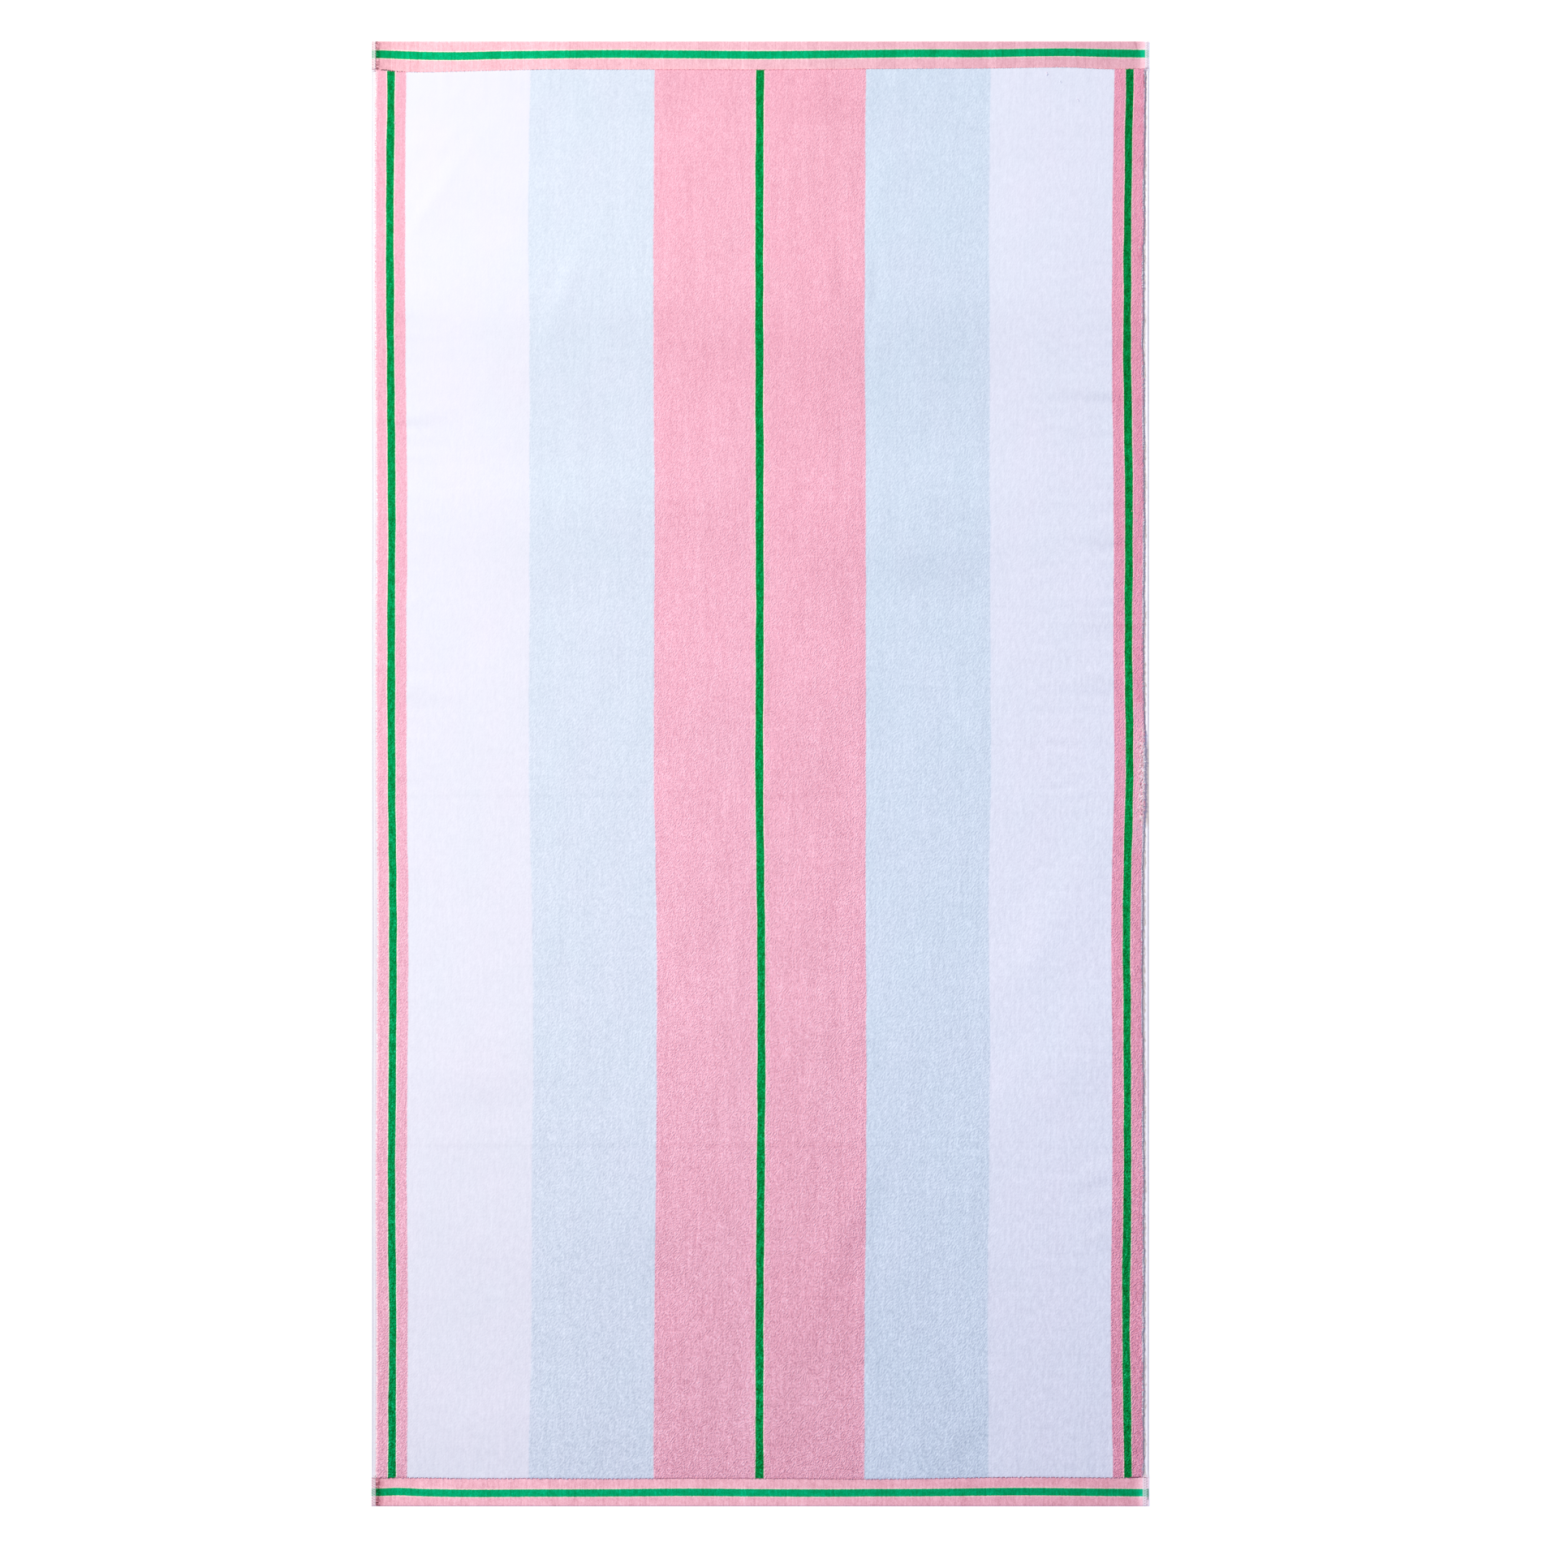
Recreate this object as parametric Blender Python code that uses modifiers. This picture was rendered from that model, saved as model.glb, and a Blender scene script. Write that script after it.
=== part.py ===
"""Beach towel: one piece of striped velour terry, lying flat with its face up.

Metres, +Z up. The origin is the middle of the underside, +X runs across the
towel and +Y along it, towards the head end. The cloth rests on z = 0.

The towel is a single woven length. Its wide stripes run along it. The side
selvedges have no pile, and neither have the two end bands, which are turned
under and stitched. So the solid is one sheet, thinner at its four margins,
with the low folds and puckers in which it lies.
"""

import math
from collections import namedtuple

import bmesh
import bpy
import numpy as np

# ---------------------------------------------------------------- sizes (m)
WIDTH = 0.9026  # from selvedge to selvedge
LENGTH = 1.7000  # from turned end to turned end
PILE_THICKNESS = 0.0030  # ground cloth, sheared pile above it, loops below it
BAND_THICKNESS = 0.0020  # two layers of flat weave, where the end is turned
SELVEDGE_THICKNESS = 0.0018  # corded flat weave along both sides
SHOULDER = 0.0018  # run over which the pile drops to the flat margins
CONTACT = 0.00012  # folds lower than this lie flat on the ground

# ------------------------------------------------- sections across the towel
# From the left selvedge to the right one. "cells" is the number of grid
# columns, and "wander" names the line whose drift the stripe's right-hand
# border follows.
Stripe = namedtuple("Stripe", "name width cells yarn wander")
STRIPES = (
    Stripe("left selvedge", 0.0060, 1, "white_weave", "left_border"),
    Stripe("left border, outer", 0.0132, 1, "pink_pile", "left_border"),
    Stripe("left border, line", 0.0084, 1, "green_pile", "left_border"),
    Stripe("left border, inner", 0.0134, 1, "pink_pile", "left_border"),
    Stripe("left white", 0.1422, 4, "white_pile", "left_blue"),
    Stripe("left blue", 0.1449, 4, "blue_pile", "left_pink"),
    Stripe("middle pink, left half", 0.1178, 3, "pink_pile", "centre"),
    Stripe("middle line", 0.0089, 1, "green_pile", "centre"),
    Stripe("middle pink, right half", 0.1189, 3, "pink_pile", "right_pink"),
    Stripe("right blue", 0.1437, 4, "blue_pile", "right_blue"),
    Stripe("right white", 0.1422, 4, "white_pile", "right_border"),
    Stripe("right border, inner", 0.0133, 1, "pink_pile", "right_border"),
    Stripe("right border, line", 0.0086, 1, "green_pile", "right_border"),
    Stripe("right border, outer", 0.0134, 1, "pink_pile", "right_edge"),
    Stripe("right selvedge", 0.0077, 1, "white_weave", "edge"),
)

# -------------------------------------------------- sections along the towel
# From the head end to the foot end. "yarn" is set where a band's weft colour
# runs from edge to edge.
Section = namedtuple("Section", "name length rows yarn")
SECTIONS = (
    Section("head band, outer", 0.0110, 1, "pink_weave"),
    Section("head band, line", 0.0085, 1, "green_weave"),
    Section("head band, inner", 0.0133, 1, "pink_weave"),
    Section("head field", 0.3500, 9, None),
    Section("upper puckers", 0.2200, 12, None),
    Section("side ripples", 0.2700, 15, None),
    Section("slanting folds", 0.3600, 13, None),
    Section("lower puckers", 0.1400, 8, None),
    Section("foot field", 0.2941, 7, None),
    Section("foot band, inner", 0.0127, 1, "pink_weave"),
    Section("foot band, line", 0.0083, 1, "green_weave"),
    Section("foot band, outer", 0.0121, 1, "pink_weave"),
)

# ------------------------------------------------------ drift of the stripes
# How far each woven line strays to the right (mm) at a height y (m) above the
# middle of the towel.
Drift = namedtuple(
    "Drift",
    "y left_border left_blue left_pink centre right_pink right_blue right_border right_edge",
)
DRIFTS = (
    Drift(0.82, -0.5, 0.0, 0.4, 0.8, 0.4, 1.4, 2.2, 1.4),
    Drift(0.65, -1.6, -1.9, -0.9, -0.3, -1.1, -0.2, 0.2, 0.2),
    Drift(0.50, -1.2, -0.4, -1.0, -0.3, -1.2, 0.8, -0.5, -0.6),
    Drift(0.32, 0.2, -1.2, 0.0, 0.1, 0.2, 0.4, 1.8, 0.6),
    Drift(0.15, -0.3, -1.6, -0.2, 0.0, 0.0, 0.0, 1.3, -0.3),
    Drift(0.00, 0.2, -2.0, -0.5, -0.4, 0.3, 0.8, 2.4, 1.0),
    Drift(-0.16, 1.5, 1.7, 2.3, 1.5, 0.0, -1.4, -0.9, -0.7),
    Drift(-0.30, 1.4, 3.9, 2.9, 2.2, 0.6, 0.6, -0.6, -0.6),
    Drift(-0.47, 0.2, 3.1, 2.0, 1.4, 0.5, -0.4, -0.3, 0.1),
    Drift(-0.64, 1.1, 1.7, 0.2, -0.1, -1.4, -2.2, -1.8, 0.1),
    Drift(-0.80, 0.3, -1.9, -0.7, -0.2, -1.4, -1.8, 0.4, -0.2),
)

# ---------------------------------------------------------- folds and puckers
# Each is a soft ridge: its middle (x, y), the way it runs, from +X towards +Y
# (degrees), how far it reaches along and across that line, and its height.
Fold = namedtuple("Fold", "name x y heading along across height")
FOLDS = (
    Fold("upper ridge", -0.05, 0.556, -1, 0.380, 0.070, 0.0012),
    Fold("head swell", 0.05, 0.705, 2, 0.300, 0.060, 0.0006),
    Fold("second ridge, left", -0.19, 0.318, -2, 0.170, 0.050, 0.0008),
    Fold("second ridge, right", 0.20, 0.300, -3, 0.130, 0.050, 0.0009),
    Fold("dimple's upper rim", 0.205, 0.264, 3, 0.060, 0.020, 0.0006),
    Fold("middle swell", -0.02, 0.085, 3, 0.200, 0.050, 0.0005),
    Fold("foot swell", -0.12, -0.530, 3, 0.200, 0.060, 0.0008),
    Fold("left foot swell", -0.330, -0.345, 2, 0.090, 0.035, 0.0007),
    Fold("slanting fold, long", 0.335, -0.180, 57, 0.140, 0.034, 0.0010),
    Fold("slanting fold, side", 0.348, -0.354, 26, 0.085, 0.034, 0.0007),
    Fold("slanting fold, inner", 0.100, -0.520, 66, 0.080, 0.020, 0.0006),
    Fold("blue stripe fold", -0.225, 0.560, 66, 0.080, 0.016, 0.0006),
    Fold("left white fold", -0.378, 0.666, 55, 0.070, 0.018, 0.0005),
    Fold("left pucker 1", -0.400, 0.418, 4, 0.050, 0.014, 0.0006),
    Fold("left pucker 2", -0.422, 0.197, 6, 0.036, 0.014, 0.0006),
    Fold("left pucker 3", -0.400, 0.097, -3, 0.050, 0.014, 0.0006),
    Fold("left pucker 4", -0.425, -0.345, 0, 0.036, 0.014, 0.0005),
    Fold("right pucker 1", 0.400, 0.446, -4, 0.045, 0.014, 0.0008),
    Fold("right pucker 2", 0.405, 0.281, -4, 0.050, 0.014, 0.0008),
    Fold("right ripple 1", 0.395, 0.204, 2, 0.070, 0.013, 0.0006),
    Fold("right ripple 2", 0.385, 0.173, -1, 0.070, 0.011, 0.0005),
    Fold("right ripple 3", 0.390, 0.109, 2, 0.070, 0.013, 0.0006),
    Fold("right ripple 4", 0.385, 0.046, -2, 0.070, 0.013, 0.0004),
    Fold("lower right pucker 1", 0.400, -0.460, 22, 0.036, 0.013, 0.0007),
    Fold("lower right pucker 2", 0.400, -0.500, 18, 0.036, 0.013, 0.0007),
    Fold("lower right pucker 3", 0.405, -0.538, 10, 0.036, 0.013, 0.0006),
)

# -------------------------------------------------------------------- colours
Yarn = namedtuple("Yarn", "name red green blue roughness")
YARNS = (
    Yarn("white_pile", 242, 242, 250, 0.95),
    Yarn("blue_pile", 218, 229, 245, 0.95),
    Yarn("pink_pile", 244, 180, 202, 0.95),
    Yarn("green_pile", 8, 146, 76, 0.95),
    Yarn("pink_weave", 246, 196, 210, 0.88),
    Yarn("green_weave", 6, 176, 116, 0.88),
    Yarn("white_weave", 244, 242, 249, 0.88),
)


def linear(channel):
    """A display value from 0 to 255 as a linear one."""
    c = channel / 255
    return c / 12.92 if c <= 0.04045 else ((c + 0.055) / 1.055) ** 2.4


def yarn_material(yarn):
    material = bpy.data.materials.new(yarn.name)
    material.use_nodes = True
    shader = material.node_tree.nodes["Principled BSDF"]
    colour = [linear(c) for c in (yarn.red, yarn.green, yarn.blue)]
    shader.inputs["Base Color"].default_value = (*colour, 1.0)
    shader.inputs["Roughness"].default_value = yarn.roughness
    shader.inputs["Metallic"].default_value = 0.0
    material.diffuse_color = (*colour, 1.0)
    return material


def across_stations():
    """The x of every grid line from left to right, each with the drift that it follows, and each column's yarn."""
    lines, yarns, x = [(-WIDTH / 2, "edge")], [], -WIDTH / 2
    for number, stripe in enumerate(STRIPES):
        before = lines[-1][1]
        cuts = list(np.linspace(0, stripe.width, stripe.cells + 1)[1:])
        if number == 1:  # the pile's shoulder beside the left selvedge
            cuts.insert(0, SHOULDER)
        if number == len(STRIPES) - 2:  # and beside the right one
            cuts.insert(len(cuts) - 1, stripe.width - SHOULDER)
        for cut in cuts:
            nearer = stripe.wander if cut > stripe.width / 2 else before
            lines.append((x + float(cut), nearer))
            yarns.append(stripe.yarn)
        x += stripe.width
    return lines, yarns


def along_stations():
    """The y of every grid line from the foot end to the head end, and each row's yarn or None."""
    lines, yarns, y = [LENGTH / 2], [], LENGTH / 2
    piled = [i for i, section in enumerate(SECTIONS) if section.yarn is None]
    for number, section in enumerate(SECTIONS):
        cuts = list(np.linspace(0, section.length, section.rows + 1)[1:])
        if number == piled[0]:
            cuts.insert(0, SHOULDER)
        if number == piled[-1]:
            cuts.insert(len(cuts) - 1, section.length - SHOULDER)
        for cut in cuts:
            lines.append(y - float(cut))
            yarns.append(section.yarn)
        y -= section.length
    return lines[::-1], yarns[::-1]


def drift_of(line, y):
    """How far a woven line strays at y. The outer edges are cut straight."""
    if line == "edge":
        return 0.0
    rows = sorted(DRIFTS)
    return 0.001 * float(
        np.interp(y, [row.y for row in rows], [getattr(row, line) for row in rows])
    )


def lift_of(x, y):
    """Height of the underside over the ground: the sum of the folds that reach this point."""
    total = 0.0
    for fold in FOLDS:
        turn = math.radians(fold.heading)
        dx, dy = x - fold.x, y - fold.y
        along = (dx * math.cos(turn) + dy * math.sin(turn)) / fold.along
        across = (dy * math.cos(turn) - dx * math.sin(turn)) / fold.across
        total += fold.height * math.exp(-(along**2) - across**2)
    return max(0.0, total - CONTACT)


def thickness_of(x, y):
    """Full over the pile, and thinner at the bands and selvedges, by a short shoulder."""
    left = x + WIDTH / 2 - STRIPES[0].width
    right = WIDTH / 2 - STRIPES[-1].width - x
    head_band = sum(s.length for s in SECTIONS[:3])
    foot_band = sum(s.length for s in SECTIONS[-3:])
    inward = min(
        left, right, LENGTH / 2 - head_band - y, y + LENGTH / 2 - foot_band
    )
    beside = SELVEDGE_THICKNESS if min(left, right) < 1e-6 else BAND_THICKNESS
    share = min(1.0, max(0.0, inward / SHOULDER))
    return beside + (PILE_THICKNESS - beside) * share


def build_towel(collection):
    x_lines, column_yarns = across_stations()
    y_lines, row_yarns = along_stations()
    columns, rows = len(x_lines) - 1, len(y_lines) - 1

    mesh = bpy.data.meshes.new("towel")
    names = [yarn.name for yarn in YARNS]
    for yarn in YARNS:
        mesh.materials.append(yarn_material(yarn))

    cloth = bmesh.new()
    bmesh.ops.create_grid(cloth, x_segments=columns, y_segments=rows, size=0.5)
    weights = {}
    for vertex in cloth.verts:
        i = round((vertex.co.x + 0.5) * columns)
        j = round((vertex.co.y + 0.5) * rows)
        x, line = x_lines[i]
        y = y_lines[j]
        vertex.co = (x + drift_of(line, y), y, lift_of(x, y))
        weights[vertex.index] = thickness_of(x, y) / PILE_THICKNESS
    for face in cloth.faces:
        middle = face.calc_center_median()
        i = int(np.searchsorted([x for x, _ in x_lines], middle.x)) - 1
        j = int(np.searchsorted(y_lines, middle.y)) - 1
        i, j = min(max(i, 0), columns - 1), min(max(j, 0), rows - 1)
        yarn = column_yarns[i]
        if row_yarns[j] and not yarn.startswith("white_weave"):
            yarn = row_yarns[j]
        face.material_index = names.index(yarn)
        face.smooth = True
    cloth.to_mesh(mesh)
    cloth.free()

    towel = bpy.data.objects.new("towel", mesh)
    collection.objects.link(towel)
    group = towel.vertex_groups.new(name="thickness")
    for index, weight in weights.items():
        group.add([index], weight, "REPLACE")

    sheet = towel.modifiers.new("cloth thickness", "SOLIDIFY")
    sheet.thickness = PILE_THICKNESS
    sheet.offset = 1.0
    sheet.vertex_group = group.name
    sheet.use_rim = True
    return towel


def main():
    for thing in list(bpy.data.objects):
        bpy.data.objects.remove(thing, do_unlink=True)
    collection = bpy.data.collections.new("beach_towel")
    bpy.context.scene.collection.children.link(collection)
    build_towel(collection)


main()
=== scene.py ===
"""Looks of the beach towel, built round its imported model, in metres and in the same frame.

The visible cloth is one shell, cut along its woven lines into pieces: the
upper side in eight lengthwise strips, the underside, and the two turned hems.
Each piece carries the map "Cloth", whose two numbers are the place in the flat
cloth in metres: across from the left edge, and along from the middle. Colours,
weave and nap are all drawn from that map, so they follow the cloth.
"""

import math
from collections import namedtuple

import bpy
import numpy as np
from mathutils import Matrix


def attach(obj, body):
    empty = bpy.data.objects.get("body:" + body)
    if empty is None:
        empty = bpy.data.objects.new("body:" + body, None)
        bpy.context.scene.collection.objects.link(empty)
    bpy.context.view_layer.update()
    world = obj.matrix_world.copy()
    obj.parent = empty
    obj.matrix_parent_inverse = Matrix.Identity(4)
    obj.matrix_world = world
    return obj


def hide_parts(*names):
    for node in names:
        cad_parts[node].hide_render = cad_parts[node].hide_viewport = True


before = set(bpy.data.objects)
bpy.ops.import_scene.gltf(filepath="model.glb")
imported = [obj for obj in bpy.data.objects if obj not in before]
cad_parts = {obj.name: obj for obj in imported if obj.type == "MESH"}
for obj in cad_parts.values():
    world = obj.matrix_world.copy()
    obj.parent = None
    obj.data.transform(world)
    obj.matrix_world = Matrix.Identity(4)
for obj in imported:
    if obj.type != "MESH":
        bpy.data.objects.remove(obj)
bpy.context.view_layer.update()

# ---------------------------------------------------------------- sizes (m)
WIDTH = 0.9026
LENGTH = 1.7000
PILE = 0.0030  # height of the sheared pile
BAND = 0.0020  # height of the turned hem
SHOULDER = 0.0018  # run over which the pile's cut edge rounds off
CONTACT = 0.00012  # folds lower than this lie flat on the ground
WEAVE = 0.00062  # thickness of the flat cloth in the hems
STITCH = 0.0052  # pitch of the hems' stitches
CELL = 0.0026  # size of the upper side's grid
BACK_CELL = 0.0062  # size of the underside's grid

# Woven stripes from left to right, as in the model: the place of each right-hand border.
Stripe = namedtuple("Stripe", "name width yarn")
STRIPES = (
    Stripe("left selvedge", 0.0060, "white_weave"),
    Stripe("left border, outer", 0.0132, "pink"),
    Stripe("left border, line", 0.0084, "green"),
    Stripe("left border, inner", 0.0134, "pink"),
    Stripe("left white", 0.1422, "white"),
    Stripe("left blue", 0.1449, "blue"),
    Stripe("middle pink, left half", 0.1178, "pink"),
    Stripe("middle line", 0.0089, "green"),
    Stripe("middle pink, right half", 0.1189, "pink"),
    Stripe("right blue", 0.1437, "blue"),
    Stripe("right white", 0.1422, "white"),
    Stripe("right border, inner", 0.0133, "pink"),
    Stripe("right border, line", 0.0086, "green"),
    Stripe("right border, outer", 0.0134, "pink"),
    Stripe("right selvedge", 0.0077, "white_weave"),
)
BORDERS = np.concatenate([[0.0], np.cumsum([s.width for s in STRIPES])])
PILE_LEFT, PILE_RIGHT = float(BORDERS[1]), float(BORDERS[-2])

# Flat bands at the two ends, from the outer edge inwards.
HEAD_BAND = (0.0110, 0.0085, 0.0133)
FOOT_BAND = (0.0121, 0.0083, 0.0127)
PILE_HEAD = LENGTH / 2 - sum(HEAD_BAND)
PILE_FOOT = -LENGTH / 2 + sum(FOOT_BAND)

# How far each woven line strays to the right (mm) at a height y (m).
Drift = namedtuple(
    "Drift",
    "y left_edge left_border left_blue left_pink centre right_pink right_blue right_border right_edge",
)
DRIFTS = (
    Drift(0.82, -0.4, -0.1, 1.6, 1.1, 1.1, 0.6, 1.2, 3.0, 3.1),
    Drift(0.65, -1.4, -1.4, -0.8, -0.2, 0.1, -0.8, -0.6, 0.6, 1.2),
    Drift(0.50, -0.9, -0.9, 0.5, -0.4, 0.1, -1.0, 0.3, -0.1, 0.1),
    Drift(0.32, 0.4, 0.6, 0.5, 0.6, 0.5, 0.3, 0.5, 1.9, 1.4),
    Drift(0.15, -0.1, 0.1, 0.3, 0.4, 0.6, 0.1, 0.9, 1.5, 0.5),
    Drift(0.00, 0.3, 0.4, -0.1, 0.1, 0.1, 0.4, 1.7, 2.6, 1.6),
    Drift(-0.16, 1.4, 2.0, 3.4, 2.9, 1.8, 0.1, -0.9, -0.7, -0.5),
    Drift(-0.30, 0.9, 1.7, 4.8, 3.4, 2.5, 0.8, 0.6, -0.1, 0.0),
    Drift(-0.47, -0.3, 0.5, 3.3, 2.3, 1.7, 0.7, -0.4, 0.2, 1.0),
    Drift(-0.64, 0.6, 1.6, 2.8, 0.7, 0.4, -1.1, -1.8, -1.4, 0.8),
    Drift(-0.80, -0.2, 0.8, -0.3, -0.3, 0.3, -1.3, -1.1, 0.8, 0.5),
)
# Which drift each border of STRIPES follows; the outer edges are straight.
DRIFT_OF_BORDER = (
    None, "left_edge", "left_border", "left_border", "left_border", "left_blue",
    "left_pink", "centre", "centre", "right_pink", "right_blue", "right_border",
    "right_border", "right_border", "right_edge", None,
)  # fmt: skip

# How far the band's green line and the pile's cut edge stray (mm, towards the
# head) at a place across the towel (mm from its middle).
Sway = namedtuple("Sway", "x line pile")
HEAD_SWAY = (
    Sway(-440, 0.0, -0.5), Sway(-421, -0.7, -2.5), Sway(-395, -1.7, -3.2),
    Sway(-351, -2.2, -2.4), Sway(-307, -1.2, -1.3), Sway(-262, -0.6, -0.3),
    Sway(-174, 0.3, -0.2), Sway(-86, -0.2, -0.4), Sway(3, -0.9, -0.6),
    Sway(91, 0.0, 0.1), Sway(180, 1.0, 0.8), Sway(268, 1.1, 1.2),
    Sway(313, 1.9, 1.9), Sway(357, 2.2, 2.2), Sway(401, 1.2, 0.2),
    Sway(445, 0.5, 0.8),
)  # fmt: skip
FOOT_SWAY = (
    Sway(-440, 0.6, 0.3), Sway(-421, 1.3, 0.5), Sway(-395, 0.3, 0.4),
    Sway(-351, -0.6, -0.3), Sway(-262, -0.4, -0.2), Sway(-174, -0.2, -0.7),
    Sway(-86, 0.5, -0.1), Sway(3, -0.1, -0.3), Sway(91, -0.3, -0.8),
    Sway(136, 0.0, -1.1), Sway(180, 0.1, -0.6), Sway(224, 0.5, 0.2),
    Sway(313, 1.3, 1.2), Sway(357, 0.9, 0.9), Sway(401, 0.4, 0.5),
    Sway(445, 0.0, 0.9),
)  # fmt: skip

# Folds and puckers, as in the model.
Fold = namedtuple("Fold", "name x y heading along across height")
FOLDS = (
    Fold("upper ridge", -0.05, 0.556, -1, 0.380, 0.070, 0.0012),
    Fold("head swell", 0.05, 0.705, 2, 0.300, 0.060, 0.0006),
    Fold("second ridge, left", -0.19, 0.318, -2, 0.170, 0.050, 0.0008),
    Fold("second ridge, right", 0.20, 0.300, -3, 0.130, 0.050, 0.0009),
    Fold("dimple's upper rim", 0.205, 0.264, 3, 0.060, 0.020, 0.0006),
    Fold("middle swell", -0.02, 0.085, 3, 0.200, 0.050, 0.0005),
    Fold("foot swell", -0.12, -0.530, 3, 0.200, 0.060, 0.0008),
    Fold("left foot swell", -0.330, -0.345, 2, 0.090, 0.035, 0.0007),
    Fold("slanting fold, long", 0.335, -0.180, 57, 0.140, 0.034, 0.0010),
    Fold("slanting fold, side", 0.348, -0.354, 26, 0.085, 0.034, 0.0007),
    Fold("slanting fold, inner", 0.100, -0.520, 66, 0.080, 0.020, 0.0006),
    Fold("blue stripe fold", -0.225, 0.560, 66, 0.080, 0.016, 0.0006),
    Fold("left white fold", -0.378, 0.666, 55, 0.070, 0.018, 0.0005),
    Fold("left pucker 1", -0.400, 0.418, 4, 0.050, 0.014, 0.0006),
    Fold("left pucker 2", -0.422, 0.197, 6, 0.036, 0.014, 0.0006),
    Fold("left pucker 3", -0.400, 0.097, -3, 0.050, 0.014, 0.0006),
    Fold("left pucker 4", -0.425, -0.345, 0, 0.036, 0.014, 0.0005),
    Fold("right pucker 1", 0.400, 0.446, -4, 0.045, 0.014, 0.0008),
    Fold("right pucker 2", 0.405, 0.281, -4, 0.050, 0.014, 0.0008),
    Fold("right ripple 1", 0.395, 0.204, 2, 0.070, 0.013, 0.0006),
    Fold("right ripple 2", 0.385, 0.173, -1, 0.070, 0.011, 0.0005),
    Fold("right ripple 3", 0.390, 0.109, 2, 0.070, 0.013, 0.0006),
    Fold("right ripple 4", 0.385, 0.046, -2, 0.070, 0.013, 0.0004),
    Fold("lower right pucker 1", 0.400, -0.460, 22, 0.036, 0.013, 0.0007),
    Fold("lower right pucker 2", 0.400, -0.500, 18, 0.036, 0.013, 0.0007),
    Fold("lower right pucker 3", 0.405, -0.538, 10, 0.036, 0.013, 0.0006),
)

# Sharp creases where it was folded away: low narrow ridges.
CREASES = (
    Fold("half-way crease, left", -0.270, -0.0165, 0.3, 0.190, 0.0036, 0.00008),
    Fold("half-way crease, right", 0.290, -0.0130, 0.6, 0.150, 0.0045, 0.00010),
    Fold("lower crease, left", -0.200, -0.4315, 0, 0.240, 0.0032, 0.00008),
    Fold("lower crease, right", 0.230, -0.4310, 0.4, 0.160, 0.0036, 0.00005),
    Fold("upper crease", -0.250, 0.5330, -0.6, 0.200, 0.0060, 0.00007),
)

# Fine wrinkles of the upper side: patches of small parallel waves.
Wrinkle = namedtuple("Wrinkle", "name x y heading along across height pitch")
WRINKLES = (
    Wrinkle("right side, upper", 0.385, 0.230, 1, 0.090, 0.150, 0.000175, 0.0215),
    Wrinkle("right side, top", 0.380, 0.500, 2, 0.080, 0.130, 0.000150, 0.0190),
    Wrinkle("right side, middle", 0.385, 0.020, -2, 0.080, 0.110, 0.000120, 0.0210),
    Wrinkle("left side, upper", -0.405, 0.370, 3, 0.050, 0.160, 0.000140, 0.0240),
    Wrinkle("left side, lower", -0.408, 0.060, -2, 0.050, 0.130, 0.000100, 0.0220),
    Wrinkle("right blue, fanned", 0.185, 0.385, 6, 0.080, 0.060, 0.000080, 0.0180),
    Wrinkle("left blue, slanting", -0.230, 0.560, 62, 0.120, 0.060, 0.000090, 0.0280),
    Wrinkle("head, left, slanting", -0.390, 0.700, 55, 0.110, 0.060, 0.000080, 0.0260),
    Wrinkle("lower right, slanting", 0.300, -0.220, 56, 0.170, 0.110, 0.000100, 0.0520),
    Wrinkle("foot, right corner", 0.330, -0.640, 38, 0.120, 0.110, 0.000060, 0.0330),
    Wrinkle("foot, left", -0.320, -0.560, 10, 0.090, 0.060, 0.000050, 0.0260),
)

# ------------------------------------------------------------ yarns (linear)
Yarn = namedtuple("Yarn", "red green blue")
YARNS = {
    "white": Yarn(0.800, 0.808, 0.925),
    "blue": Yarn(0.662, 0.745, 0.885),
    "pink": Yarn(0.905, 0.448, 0.575),
    "green": Yarn(0.0004, 0.268, 0.0690),
    "white_weave": Yarn(0.880, 0.890, 0.950),
    "pink_weave": Yarn(0.905, 0.518, 0.612),
    "green_weave": Yarn(0.0004, 0.430, 0.168),
    "cream": Yarn(0.900, 0.865, 0.760),
    "plum": Yarn(0.240, 0.050, 0.095),
    "thread": Yarn(0.740, 0.330, 0.410),
    "loops": Yarn(0.950, 0.850, 0.870),
}
# How strongly each yarn's fine and broad shading shows, and its relief (m).
# Its shading grows along the towel and across it: at the head's left end it is
# start, and it gains by foot towards the foot, along a curve of that power, and by right
# towards the right. Grain is the size of its strokes, and lift how much paler the lower part is painted, as painted
# light against the falloff of the lamp.
Nap = namedtuple("Nap", "fine broad relief start foot right curve grain lift")
NAPS = {
    "white": Nap(0.160, 0.50, 0.000028, 0.12, 3.30, 3.00, 1.0, 1.15, 0.0),
    "blue": Nap(0.400, 0.75, 0.000072, 1.50, 2.80, 1.40, 2.0, 1.22, 0.0),
    "pink": Nap(0.730, 0.95, 0.000175, 2.10, 2.55, 0.75, 2.0, 0.98, 0.024),
}
# Each strip's own slight difference of shade, how blue its green line is, and how much paler
# that line gets towards the foot.
Cast = namedtuple("Cast", "red green blue line_blue line_lower")
CASTS = {
    "face_border_left": Cast(0.942, 0.982, 0.992, 1.0, 0.03),
    "face_white_left": Cast(1.003, 0.992, 0.998, 1.0, 0.0),
    "face_blue_left": Cast(1.040, 1.012, 1.006, 1.0, 0.0),
    "face_pink_left": Cast(1.000, 1.022, 1.025, 0.80, 0.0),
    "face_pink_right": Cast(1.010, 1.012, 1.015, 1.0, 0.0),
    "face_blue_right": Cast(1.000, 1.010, 1.015, 1.0, 0.0),
    "face_white_right": Cast(0.990, 1.008, 1.030, 1.0, 0.0),
    "face_border_right": Cast(0.965, 0.800, 0.870, 0.70, 0.30),
}
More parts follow.
